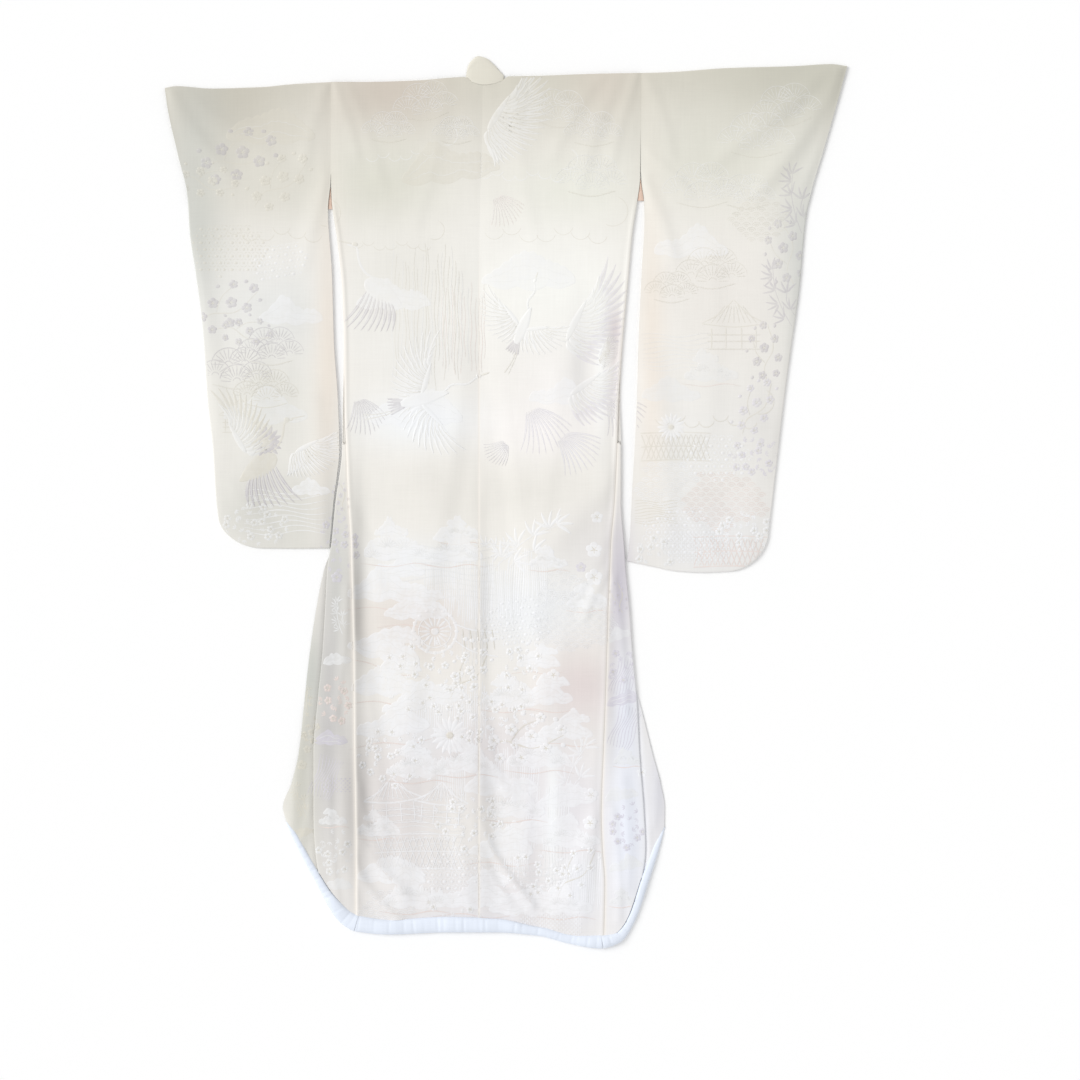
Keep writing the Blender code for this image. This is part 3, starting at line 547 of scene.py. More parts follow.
@dataclass(frozen=True)
class Silk:
    """Satin-weave silk cloth: a soft broad gloss, with slubs and cloudy tone.

    Attributes:
        name: The material's name.
        colour: sRGB hex of the dyed silk where no tint attribute is read.
        tinted: Whether the colour comes from the piece's "ground" attribute.
        thread: Drawn spacing of the threads in metres.
        relief: How deep the weave is pressed, in metres.
        roughness: Roughness of the satin.
        mottle: How far the tone wanders, as a share.
    """

    name: str
    colour: str = "F0EDE6"
    tinted: bool = False
    thread: float = 0.0016
    relief: float = 0.00016
    roughness: float = 0.46
    mottle: float = 0.035

    def make(self) -> Material:
        """Build the node tree.

        Returns:
            The material.
        """
        made = bpy.data.materials.new(self.name)
        made.use_nodes = True
        tree = made.node_tree
        shader = tree.nodes["Principled BSDF"]
        place = add_node(tree, "TexCoord").outputs["Object"]
        # When tinted, the "ground" attribute holds the silk's tone together with painted light and shade.
        if self.tinted:
            base = add_node(tree, "Attribute", {"attribute_name": "ground"}).outputs["Color"]
        else:
            base = add_node(tree, "RGB")
            base.outputs[0].default_value = linear(self.colour)
            base = base.outputs[0]
        # Cloudy tone of the satin, in patches about 60 mm across.
        cloud = add_node(tree, "TexNoise", {"Scale": 16.0, "Detail": 5.0}, in0=place)
        # Slubs: thick stretches of weft, some 40 mm long and 2 mm high.
        long_way = add_node(tree, "Mapping", {"Scale": (22.0, 420.0, 22.0)}, in0=place)
        slub = add_node(tree, "TexNoise", {"Scale": 1.0, "Detail": 3.0}, in0=long_way.outputs[0])
        warp_way = add_node(tree, "Mapping", {"Scale": (320.0, 14.0, 22.0)}, in0=place)
        warp = add_node(tree, "TexNoise", {"Scale": 1.0, "Detail": 2.0}, in0=warp_way.outputs[0])
        tone = add_node(tree, "Math", {"operation": "ADD"}, in0=slub.outputs[0], in1=warp.outputs[0])
        tone = add_node(tree, "Math", {"operation": "ADD"}, in0=tone.outputs[0], in1=cloud.outputs[0])
        shade = add_node(tree, "MapRange",
                         {"From Min": 1.0, "From Max": 2.0, "To Min": 1.0 - self.mottle,
                          "To Max": 1.0 + self.mottle * 0.6}, in0=tone.outputs[0])
        colour = add_node(tree, "VectorMath", {"operation": "SCALE"},
                          in0=base, in3=shade.outputs[0])
        tree.links.new(colour.outputs[0], shader.inputs["Base Color"])
        # Threads: the real ones are about 0.1 mm apart, drawn coarser so that they show close up.
        bands = 2 * pi / self.thread / 20
        weft = add_node(tree, "TexWave", {"bands_direction": "Y", "Scale": bands,
                                                    "Distortion": 1.2, "Detail": 1.0}, in0=place)
        warps = add_node(tree, "TexWave", {"bands_direction": "X", "Scale": bands,
                                                     "Distortion": 1.2, "Detail": 1.0}, in0=place)
        weave = add_node(tree, "Math", {"operation": "MAXIMUM"},
                         in0=weft.outputs["Fac"], in1=warps.outputs["Fac"])
        weave = add_node(tree, "Math", {"operation": "ADD"},
                         in0=weave.outputs[0], in1=tone.outputs[0])
        bump = add_node(tree, "Bump", {"Strength": 0.35, "Distance": self.relief},
                        in2=weave.outputs[0])
        tree.links.new(bump.outputs[0], shader.inputs["Normal"])
        gloss = add_node(tree, "MapRange",
                         {"From Min": 0.3, "From Max": 0.7, "To Min": self.roughness - 0.07,
                          "To Max": self.roughness + 0.09}, in0=cloud.outputs[0])
        tree.links.new(gloss.outputs[0], shader.inputs["Roughness"])
        shader.inputs["Specular IOR Level"].default_value = 0.36
        shader.inputs["IOR"].default_value = 1.5
        shader.inputs["Sheen Weight"].default_value = 0.10
        shader.inputs["Sheen Roughness"].default_value = 0.4
        return made


class Thread(Enum):
    """Silk floats that draw the figures, each by its colour."""

    WHITE = "F4F5F8"
    PEARL = "ECEDEE"
    SAND = "DCD7C9"
    ROSE = "EAD9D2"
    LILAC = "D6D2DE"
    SMOKE = "B8B2BC"


# The threads by their own names, for the figures and their table.
WHITE, PEARL, SAND, ROSE, LILAC, SMOKE = Thread


# Heavy satin with a figured weave: a soft, broad gloss over an ivory ground.
FIGURED = Silk("figured_satin_silk", tinted=True)
# Untwisted silk floats: the brightest thread, with a tighter gloss than the ground.
FLOATS = Silk("brocade_float_silk", tinted=True, thread=0.0012, relief=0.0002, roughness=0.38,
              mottle=0.03)
# Twill of the collar: a duller, creamier face with a close diagonal weave.
COLLAR_SILK = Silk("collar_silk_twill", "E2DED1", thread=0.0014, roughness=0.52)
# Plain smooth silk over wadding: cool white, with hardly any weave to see.
HEM_SILK = Silk("padded_hem_habutae_silk", "E9F0FC", thread=0.0012, relief=0.0002, roughness=0.5)
# The same plain silk dyed rose, seen only in the shade of the sleeve slits.
LINING_SILK = Silk("lining_habutae_silk", "E4C8B6", thread=0.0012, roughness=0.5)


class ToneAndLightPatch(NamedTuple):
    """A patch that changes the ground's colour, by the silk's own tone in some rows and by painted light
    and shade in others: its middle, reach and colour.
    """

    x: float
    y: float
    across: float
    along: float
    colour: str
    share: float


GROUND = "F3F0EA"
SEAM_HIGHLIGHT = "F6F0E8"     # painted highlight: the tight satin of a pressed seam catching the light
# The silk's own tones lie here together with painted light and shade: the rows that darken the
# and those at (-0.62, 0.58) and (0.6, 0.46) darken the sleeves' outer edges.
# band of sheen; the narrow rows at (0.05, -0.62) and (-0.172, -0.62) darken the silk along folds,
# bright rows at (0.094, -0.62) and (0.19, 0.26) are a painted highlight on a fold and a painted
# shoulders and sleeve tops and lighten the middle of the back are painted shade and light;
# the dark strips of the fronts and okumi beside the side seams are painted shade; the narrow
TONES_AND_PAINTED_LIGHT = (
    ToneAndLightPatch(0.05, 0.9, 1.2, 0.22, "D0CCBE", 0.95), ToneAndLightPatch(-0.58, 0.84, 0.18, 0.22, "C2BDAF", 0.85),
    ToneAndLightPatch(-0.24, 0.82, 0.12, 0.09, "CFC4B8", 0.8), ToneAndLightPatch(0.2, 0.84, 0.07, 0.08, "D6CCC0", 0.6),
    ToneAndLightPatch(0.6, 0.86, 0.22, 0.14, "C2C0B2", 0.8), ToneAndLightPatch(-0.62, 0.58, 0.07, 0.3, "C8CAC4", 0.85),
    ToneAndLightPatch(0.6, 0.46, 0.07, 0.26, "C8CBC7", 0.85), ToneAndLightPatch(-0.46, 0.64, 0.16, 0.1, "DDDACF", 0.8),
    ToneAndLightPatch(-0.24, 0.64, 0.14, 0.1, "DCDBCE", 0.85), ToneAndLightPatch(0.42, 0.68, 0.2, 0.12, "DEDDD1", 0.8),
    ToneAndLightPatch(0.13, 0.62, 0.14, 0.08, "EAEADF", 0.8), ToneAndLightPatch(0.1, 0.42, 0.22, 0.14, "FBFBF6", 0.85),
    ToneAndLightPatch(-0.2, 0.46, 0.12, 0.1, "E9E7E0", 0.7), ToneAndLightPatch(-0.17, 0.3, 0.12, 0.1, "EDECE8", 0.7),
    ToneAndLightPatch(-0.17, 0.16, 0.14, 0.06, "F6F9FC", 0.8), ToneAndLightPatch(-0.46, 0.38, 0.14, 0.12, "E6E7E5", 0.8),
    ToneAndLightPatch(-0.48, 0.2, 0.14, 0.12, "E2E1DA", 0.8), ToneAndLightPatch(-0.48, -0.02, 0.16, 0.12, "D7D6CF", 0.9),
    ToneAndLightPatch(0.42, 0.4, 0.16, 0.16, "EBE7E1", 0.8), ToneAndLightPatch(0.5, 0.14, 0.1, 0.14, "E0DEDB", 0.7),
    ToneAndLightPatch(0.36, 0.1, 0.14, 0.14, "ECEBE8", 0.8), ToneAndLightPatch(0.4, -0.08, 0.18, 0.1, "E7E7E8", 0.85),
    ToneAndLightPatch(0.29, 0.3, 0.03, 0.34, "F0E6DA", 0.8), ToneAndLightPatch(-0.355, 0.28, 0.03, 0.34, "F0E6DA", 0.8),
    ToneAndLightPatch(0.12, 0.22, 0.14, 0.12, "F8F5F3", 0.8), ToneAndLightPatch(0.0, 0.02, 0.3, 0.08, "EBE8E1", 0.85),
    ToneAndLightPatch(0.18, -0.1, 0.1, 0.1, "E3E0DE", 0.8), ToneAndLightPatch(-0.16, -0.24, 0.14, 0.08, "E4DAD3", 0.85),
    ToneAndLightPatch(0.04, -0.22, 0.14, 0.09, "F0F2F4", 0.85), ToneAndLightPatch(0.15, -0.37, 0.09, 0.09, "E3D8D6", 0.95),
    ToneAndLightPatch(-0.05, -0.5, 0.22, 0.12, "E5E0E1", 0.85), ToneAndLightPatch(-0.22, -0.62, 0.1, 0.14, "E3DDDC", 0.85),
    ToneAndLightPatch(0.12, -0.62, 0.12, 0.14, "E8E5EA", 0.85), ToneAndLightPatch(0.0, -0.8, 0.34, 0.12, "E8E5E7", 0.9),
    ToneAndLightPatch(-0.41, -0.5, 0.04, 0.36, "CFCEC4", 0.95), ToneAndLightPatch(-0.34, -0.16, 0.026, 0.22, "D2D2CD", 0.95),
    ToneAndLightPatch(-0.354, -0.46, 0.032, 0.34, "C0BEBD", 0.88), ToneAndLightPatch(0.228, -0.18, 0.026, 0.16, "CDC8D2", 0.9),
    ToneAndLightPatch(0.24, -0.42, 0.035, 0.16, "E5E8F1", 0.95), ToneAndLightPatch(0.245, -0.66, 0.05, 0.2, "EDF1FC", 0.92),
    ToneAndLightPatch(0.305, -0.58, 0.026, 0.14, "E3E3E9", 0.95), ToneAndLightPatch(0.05, -0.62, 0.012, 0.14, "DCD9DE", 0.5),
    ToneAndLightPatch(0.094, -0.62, 0.015, 0.16, "FDFFFF", 0.8), ToneAndLightPatch(0.15, -0.77, 0.04, 0.09, "F3F5FC", 0.7),
    ToneAndLightPatch(-0.17, -0.47, 0.05, 0.06, "F0F2F6", 0.5), ToneAndLightPatch(-0.172, -0.62, 0.014, 0.14, "DEDAD9", 0.45),
    ToneAndLightPatch(0.218, 0.345, 0.013, 0.032, "CFC2C4", 0.65), ToneAndLightPatch(-0.17, -0.12, 0.1, 0.05, "F2F4F6", 0.7),
    ToneAndLightPatch(0.05, 0.14, 0.09, 0.06, "FCF8F6", 0.7), ToneAndLightPatch(-0.39, -0.34, 0.022, 0.09, "C6C8C2", 0.8),
    ToneAndLightPatch(0.19, 0.26, 0.014, 0.14, "FFFFFD", 0.8), ToneAndLightPatch(0.145, 0.27, 0.022, 0.12, "E1DFDD", 0.8),
    ToneAndLightPatch(0.218, 0.3, 0.014, 0.1, "E6DEDD", 0.7),
)


class SeamShade(NamedTuple):
    """Painted shade in the hollow beside a seam: its middle, reach and depth."""

    x: float
    y: float
    across: float
    along: float
    depth: float


# Painted shade: the hollows beside the side seams and the centre seam.
SEAM_SHADES = (
    SeamShade(-0.297, -0.22, 0.018, 0.24, 0.46),
    SeamShade(-0.292, -0.6, 0.026, 0.2, 0.42),
    SeamShade(-0.045, -0.22, 0.013, 0.26, 0.18),
    SeamShade(-0.038, -0.62, 0.024, 0.2, 0.2),
    SeamShade(0.209, -0.3, 0.013, 0.3, 0.14),
)


def nearness(patch: NamedTuple, x: Array, y: Array) -> Array:
    """How strongly a patch acts at each place: 1 at its middle, fading beyond its reach."""
    reach = ((x - patch.x) / patch.across) ** 2 + ((y - patch.y) / patch.along) ** 2
    return np.exp(-reach * PATCH_FALL)


def paint_seam_shade(colours: Array, x: Array, y: Array) -> Array:
    """Paint the shade of the hollows beside the seams onto the colours, figures and ground alike.

    Args:
        colours: Linear RGBA rows.
        x: Places across.
        y: Places along.

    Returns:
        The rows darkened by that painted shade.
    """
    share = np.ones(x.shape)
    for dip in SEAM_SHADES:
        share = share * (1 - dip.depth * nearness(dip, x, y))
    duller = colours.copy()
    duller[..., :3] *= share[..., None]
    return duller


def ground_colour_and_painted_light(x: Array, y: Array) -> Array:
    """Colour of the silk at places on the garment, with its painted light and shade.

    Args:
        x: Places across.
        y: Places along.

    Returns:
        Linear RGBA rows.
    """
    colour = np.ones(x.shape + (4,)) * np.array(linear(GROUND))
    for tint in TONES_AND_PAINTED_LIGHT:
        weight = (tint.share * nearness(tint, x, y))[..., None]
        colour = colour * (1 - weight) + np.array(linear(tint.colour)) * weight
    return colour


# ------------------------------------------------------------------ meshes
def grid_faces(rows: int, cols: int, start: int = 0, up: bool = True) -> Array:
    """Quads of a grid of points stored row by row.

    Args:
        rows: Rows of points.
        cols: Columns of points.
        start: Index of the first point.
        up: Whether the faces turn upward when rows run towards -Y and columns towards +X.

    Returns:
        Four point numbers for each quad.
    """
    j, i = np.meshgrid(np.arange(rows - 1), np.arange(cols - 1), indexing="ij")
    a = start + (j * cols + i).ravel()
    quads = side_by_side(a, a + cols, a + cols + 1, a + 1)
    return quads if up else quads[:, ::-1]


def make_piece(name: str, points: Array, faces: Array,
               materials: Sequence[Material]) -> Piece:
    """Make a smooth-shaded object from arrays, with its place in its mesh.

    Args:
        name: The piece's name.
        points: Rows of x, y, z.
        faces: Rows of four point numbers.
        materials: Its materials.

    Returns:
        The object.
    """
    mesh = bpy.data.meshes.new(name)
    mesh.vertices.add(len(points))
    mesh.vertices.foreach_set("co", np.ascontiguousarray(points, np.float32).ravel())
    mesh.loops.add(len(faces) * 4)
    mesh.loops.foreach_set("vertex_index", np.ascontiguousarray(faces, np.int32).ravel())
    mesh.polygons.add(len(faces))
    mesh.polygons.foreach_set("loop_start", np.arange(0, len(faces) * 4, 4, dtype=np.int32))
    mesh.polygons.foreach_set("use_smooth", np.ones(len(faces), bool))
    for material in materials:
        mesh.materials.append(material)
    mesh.update(calc_edges=True)
    mesh.validate()
    piece = bpy.data.objects.new(name, mesh)
    bpy.context.scene.collection.objects.link(piece)
    return piece


def join_doubles(piece: Piece, reach: float = 0.00002) -> None:
    """Merge points that stand in the same place, so that edges are closed."""
    bm = bmesh.new()
    bm.from_mesh(piece.data)
    bmesh.ops.remove_doubles(bm, verts=bm.verts, dist=reach)
    bm.to_mesh(piece.data)
    bm.free()


def points_of(mesh: bpy.types.Mesh) -> Array:
    """The mesh's points as rows of x, y, z."""
    places = np.zeros(len(mesh.vertices) * 3, np.float32)
    mesh.vertices.foreach_get("co", places)
    return places.reshape(-1, 3).astype(float)


def store_colours(piece: Piece, colours: Array) -> None:
    """Store one linear colour for each point, as the attribute that tinted silk reads."""
    attribute = piece.data.color_attributes.new("ground", "FLOAT_COLOR", "POINT")
    attribute.data.foreach_set("color", colours.astype(np.float32).ravel())


def paint_seam_highlight(colours: Array, x: Array, y: Array) -> Array:
    """Paint a highlight along the pressed side and centre seams, on figures and ground alike.

    Args:
        colours: Linear RGBA rows.
        x: Places across.
        y: Places along.

    Returns:
        The brighter rows.
    """
    for line, reach in ((FORM.seam_left, 0.0045), (FORM.seam_right, 0.0035), (FORM.centre, 0.0020)):
        off = (x - line(y)) / reach
        highlight = (SEAM_HIGHLIGHT_SHARE * np.exp(-off ** 2) * ease((SEAM_TOP - y) / 0.2))[:, None]
        colours = colours * (1 - highlight) + np.array(linear(SEAM_HIGHLIGHT)) * highlight
    return colours


def store_ground_and_painted_light(piece: Piece) -> None:
    """Store the ground's colour, with its painted light and shade and the painted seam shade and highlight,
    on the piece's points.
    """
    x, y = points_of(piece.data)[:, :2].T
    store_colours(piece, paint_seam_highlight(paint_seam_shade(ground_colour_and_painted_light(x, y), x, y), x, y))


def give_wall(piece: Piece, wall: float = WALL) -> None:
    """Give an open sheet its thickness on the hidden side, with a crisp rim."""
    mesh = piece.data
    edges = np.zeros(len(mesh.loops), np.int32)
    mesh.loops.foreach_get("edge_index", edges)
    rim = np.bincount(edges, minlength=len(mesh.edges)) == 1
    mesh.edges.foreach_set("use_edge_sharp", rim)
    solid = piece.modifiers.new("wall", "SOLIDIFY")
    solid.thickness = wall
    solid.offset = -1.0
    solid.use_quality_normals = True


def triangles(piece: Piece) -> int:
    """Count the triangles of a piece as it renders."""
    shown = piece.evaluated_get(bpy.context.evaluated_depsgraph_get()).data
    return sum(len(face.vertices) - 2 for face in shown.polygons)


def settle(piece: Piece, nodes: Sequence[str]) -> None:
    """Let the piece ride on the garment and stand for its CAD nodes.

    Args:
        piece: The piece.
        nodes: CAD nodes that it replaces.
    """
    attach(piece, "root")
    if nodes:
        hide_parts(*nodes)
    LOG.info("%s: %d triangles", piece.name, triangles(piece))


def edge_puff(near: Array, reach: float = PUFF_REACH) -> Array:
    """How far cloth stands proud at a distance from its nearest seam, 0 to 1."""
    return 1 - np.exp(-np.clip(near, 0, None) / reach * PUFF_RISE)


# ------------------------------------------------------------------ panels
def down(line: Line, start: float, shift: float = 0.0) -> Callable:
    """Edge of a panel along a line of the body, from y = start to the padded hem."""
    end = FORM.corner(line)

    def read(v: Array) -> Array:
        """Points at shares of the way down."""
        y = start + (end - start) * np.asarray(v, float)
        return side_by_side(line(y) + shift, y)
    return read


def between(line_a: Line, line_b: Line, shift_a: float = 0.0, shift_b: float = 0.0) -> Callable:
    """Panel between two lines of the body, from the shoulder to the padded hem.

    Args:
        line_a: The line at u = 0.
        line_b: The line at u = 1.
        shift_a: How far the first edge is moved along X.
        shift_b: How far the second edge is moved along X.

    Returns:
        A Coons patch.
    """
    top = np.array(SHOULDER[0][1])
    xa, xb = float(line_a(top)) + shift_a, float(line_b(top)) + shift_b
    left = down(line_a, float(FORM.shoulder(np.array(xa))), shift_a)
    right = down(line_b, float(FORM.shoulder(np.array(xb))), shift_b)
    la, lb = float(left(np.array(1.0))[0]), float(right(np.array(1.0))[0])

    def across_top(u: Array) -> Array:
        """The shoulder line."""
        x = xa + (xb - xa) * np.asarray(u, float)
        return side_by_side(x, FORM.shoulder(x))

    def across_hem(u: Array) -> Array:
        """The line where the padded hem is sewn on."""
        x = la + (lb - la) * np.asarray(u, float)
        return side_by_side(x, FORM.hem_top(x))
    return coons(across_top, across_hem, left, right)


def spread(plan: Callable, rows: Array, cols: Array) -> Tuple[Array, Array, Array, Array]:
    """Lay a grid of points over a panel.

    Args:
        plan: The panel's patch.
        rows: Shares down the panel.
        cols: Shares across it.

    Returns:
        Shares across, shares down, and the points' x and y.
    """
    v, u = np.meshgrid(rows, cols, indexing="ij")
    spot = plan(u, v)
    return u, v, spot[..., 0], spot[..., 1]


def quarter(share: Array) -> Array:
    """Quarter-round rise from a rounded edge: 0 at the edge, 1 from share 1 on."""
    return np.sqrt(np.clip(1 - (1 - np.clip(share, 0, 1)) ** 2, 0, 1))


@dataclass
class BackPanel:
    """One back panel: shoulder to hem, with a pressed tuck along its side seam.

    Attributes:
        name: The CAD node.
        side: -1 for the wearer's left, 1 for the right.
        tuck: Height of the pressed tuck along the side seam.
        tuck_width: Width of that tuck.
        cut: Width and length of the cloth that shows.
    """

    name: str
    side: int
    tuck: float = 0.0014
    tuck_width: float = 0.008
    cut: Tuple[float, float] = (0.30, 1.72)

    def build(self, silk: Material) -> Piece:
        """Make the panel.

        Args:
            silk: Its cloth.

        Returns:
            The piece, still an open sheet.
        """
        line_a = FORM.seam_left if self.side < 0 else FORM.centre
        line_b = FORM.centre if self.side < 0 else FORM.seam_right
        plan = between(line_a, line_b)
        cols = spaced(BACK_WIDE, CELL, (0.0008, 0.0018, 0.003, 0.0045, 0.006, 0.008))
        rows = spaced(BODY_TALL, CELL, (0.001, 0.0025))
        u, v, x, y = spread(plan, rows, cols)
        wide = line_b(y) - line_a(y)
        seam = (u if self.side < 0 else 1 - u) * wide
        middle = (1 - u if self.side < 0 else u) * wide
        ends = np.minimum(v * BODY_TALL + 0.004, (1 - v) * BODY_TALL)
        near = np.minimum(np.minimum(seam, middle), ends)
        z = FORM.back_base(x, y) + CLOTH + PUFF * edge_puff(near)
        z += FORM.folds(BODY_FOLDS, x, y) * ease(seam / 0.014) * ease(middle / 0.030)
        z += FORM.ripple(x, y) * ease(near / 0.02)
        ridge = np.sqrt(np.clip(1 - ((seam - self.tuck_width / 2) / (self.tuck_width / 2)) ** 2, 0, 1))
        z += self.tuck * ridge * ease((0.62 - y) / 0.05)
        return make_piece(self.name + "_cloth", side_by_side(x, y, z).reshape(-1, 3),
                          grid_faces(len(rows), len(cols)), [silk])


@dataclass
class FrontPanel:
    """One front: the leaf that shows beyond the side seam, and its turn under the back."""

    name: str
    side: int
    cut: Tuple[float, float] = (0.21, 1.70)

    def build(self, silk: Material) -> Piece:
        """Make the panel.

        Args:
            silk: Its cloth.

        Returns:
            The piece, still an open sheet.
        """
        fold, seam, edge = ((FORM.fold_left, FORM.seam_left, FORM.open_left) if self.side < 0
                            else (FORM.fold_right, FORM.seam_right, FORM.open_right))
        upper, lower = between(fold, seam), between(fold, edge)
        rows = spaced(BODY_TALL, CELL)
        leaf = spaced(0.080, 0.004, (0.0015,))[::-1]
        turn = np.linspace(1.0, 0.0, 7)
        under = spaced(0.12, 0.016)
        reach = FOLD_REACH * self.side
        u, v, x, y = spread(upper, rows, leaf)
        x = x - reach * (1 - u)
        wide = np.abs(seam(y) - fold(y))
        near = np.minimum(u, 1 - u) * wide
        z = FORM.front_base(y) + STEP + CLOTH + 0.6 * PUFF * edge_puff(near, 0.016)
        z += FORM.folds(SIDE_FOLDS, x, y) * ease(near / 0.010) + FORM.ripple(x, y) * ease(near / 0.02)
        shown = side_by_side(x, y, z)
        v, t = np.meshgrid(rows, turn[1:-1], indexing="ij")
        line = lower(np.zeros_like(t), v)
        half = (STEP + CLOTH) / 2
        angle = np.pi * (t - 0.5)
        rounded = side_by_side(line[..., 0] - reach * (1 - np.cos(angle)), line[..., 1],
                            FORM.front_base(line[..., 1]) + half + half * np.sin(angle))
        u, v, x, y = spread(lower, rows, under)
        hidden = side_by_side(x - reach * (1 - u), y, FORM.front_base(y))
        points = np.concatenate([shown, rounded, hidden], axis=1)
        count = points.shape[1]
        quads = grid_faces(len(rows), count, up=self.side > 0).reshape(len(rows) - 1, count - 1, 4)
        height = points.reshape(-1, 3)
        spare = height[quads[..., 0], 1] > LEAF_START
        spare[:, len(leaf) + 2:] = False
        quads = quads[~spare]
        used = np.unique(quads)
        number = np.full(len(height), -1)
        number[used] = np.arange(len(used))
        return make_piece(self.name + "_cloth", height[used], number[quads], [silk])


@dataclass
class OkumiPanel:
    """An extra front panel, lowest of the layers, whose strip shows beyond the fold."""

    name: str
    side: int
    cut: Tuple[float, float] = (0.16, 0.80)

    def build(self, silk: Material) -> Piece:
        """Make the panel.

        Args:
            silk: Its cloth.

        Returns:
            The piece, still an open sheet.
        """
        tip = FORM.hem_inside[0 if self.side < 0 else -1]
        name = "outer_left" if self.side < 0 else "outer_right"
        knots = [row.y for row in OKUMI] + [float(tip[1])]
        reaches = [getattr(row, name) for row in OKUMI] + [float(tip[0])]
        start, end = knots[0], knots[-1]
        seam = FORM.open_left if self.side < 0 else FORM.open_right

        def outer(v: Array) -> Array:
            """The free edge, turned outward."""
            y = start + (end - start) * np.asarray(v, float)
            return side_by_side(smooth(knots, reaches, y), y)
        inner = down(seam, start)
        la, lb = float(outer(np.array(1.0))[0]), float(inner(np.array(1.0))[0])
        c0, c1 = outer(np.array(0.0)), inner(np.array(0.0))

        def top(u: Array) -> Array:
            """The hidden upper edge."""
            t = np.asarray(u, float)[..., None]
            return c0 * (1 - t) + c1 * t

        def bottom(u: Array) -> Array:
            """The line where the padded hem is sewn on."""
            x = la + (lb - la) * np.asarray(u, float)
            return side_by_side(x, FORM.hem_top(x))
        plan = coons(top, bottom, outer, inner)
        cols = np.concatenate([spaced(0.07, 0.004, (0.001,)) * 0.45, np.linspace(0.5, 1.0, 8)])
        rows = spaced(0.80, CELL)
        u, v, x, y = spread(plan, rows, cols)
        fold = FORM.fold_left(y) if self.side < 0 else FORM.fold_right(y)
        strip = np.clip((fold - x) * -self.side, 0, None)
        away = np.abs(x - x[:, :1])
        room = ease(strip / 0.006)
        z = CLOTH + room * (0.0016 * edge_puff(away, 0.012) + FORM.folds(SIDE_FOLDS, x, y) * 0.8
                            + FORM.ripple(x, y))
        faces = grid_faces(len(rows), len(cols))
        faces = faces if self.side < 0 else faces[:, ::-1]
        return make_piece(self.name + "_cloth", side_by_side(x, y, z).reshape(-1, 3), faces, [silk])


@dataclass
class SleevePanel:
    """A hanging sleeve: one length folded at the top, sewn below the cuff and along the bottom.

    Attributes:
        name: The CAD node.
        side: -1 for the wearer's left, 1 for the right.
        cell: Spacing of its points.
        cut: Width and twice the length of the sleeve.
    """

    name: str
    side: int
    cell: float = 0.0058
    cut: Tuple[float, float] = (0.34, 1.92)

    def build(self, silk: Material) -> Piece:
        """Make both leaves of the sleeve.

        Args:
            silk: Its cloth.

        Returns:
            The piece, still an open sheet.
        """
        cut = SLEEVES["left" if self.side < 0 else "right"]
        cx, cy, across, drop = cut.corner
        arc = [(cx + across * cos(a), cy - drop * sin(a))
               for a in np.radians([11.25 * k for k in range(9)])]
        outer = polyline(list(cut.outer) + arc[1:5])
        bottom = polyline(list(reversed(list(arc[4:]) + list(cut.bottom[1:]))))
        plan = coons(polyline(cut.top), bottom, polyline(cut.inner), outer)
        tight = (0.0004, 0.0012, 0.0024, 0.004)
        cols, rows = spaced(SLEEVE_WIDE, self.cell, tight), spaced(SLEEVE_TALL, self.cell, tight)
        u, v, x, y = spread(plan, rows, cols)
        far = (1 - u) * SLEEVE_WIDE
        joined = ease((y - 0.650) / 0.012) * ease(1 - u * SLEEVE_WIDE / 0.020)
        x = x - self.side * SEAM_LAP * joined
        sewn = ease((cut.cuff_end - y) / 0.03)
        middle = SLEEVE_EDGE / 2
        rise = quarter(v * SLEEVE_TALL / middle) * quarter((1 - v) * SLEEVE_TALL / middle)
        rise *= 1 - sewn * (1 - quarter(far / middle))
        near = np.minimum(np.minimum(far, u * SLEEVE_WIDE), np.minimum(v, 1 - v) * SLEEVE_TALL)
        lift = 0.8 * PUFF * edge_puff(near) + FORM.ripple(x, y) * ease(near / 0.02)
        lift += FORM.folds(SLEEVE_FOLDS, x, y) * ease(near / 0.012)
        upper = side_by_side(x, y, middle + (middle + lift) * rise - SEAM_LAP * joined)
        lower = side_by_side(x, y, middle - middle * rise)
        points = np.concatenate([upper.reshape(-1, 3), lower.reshape(-1, 3)])
        shape = len(rows), len(cols)
        turned = self.side < 0
        faces = np.concatenate([grid_faces(*shape, 0, not turned),
                                grid_faces(*shape, len(rows) * len(cols), turned)])
        piece = make_piece(self.name + "_cloth", points, faces, [silk])
        join_doubles(piece)
        return piece


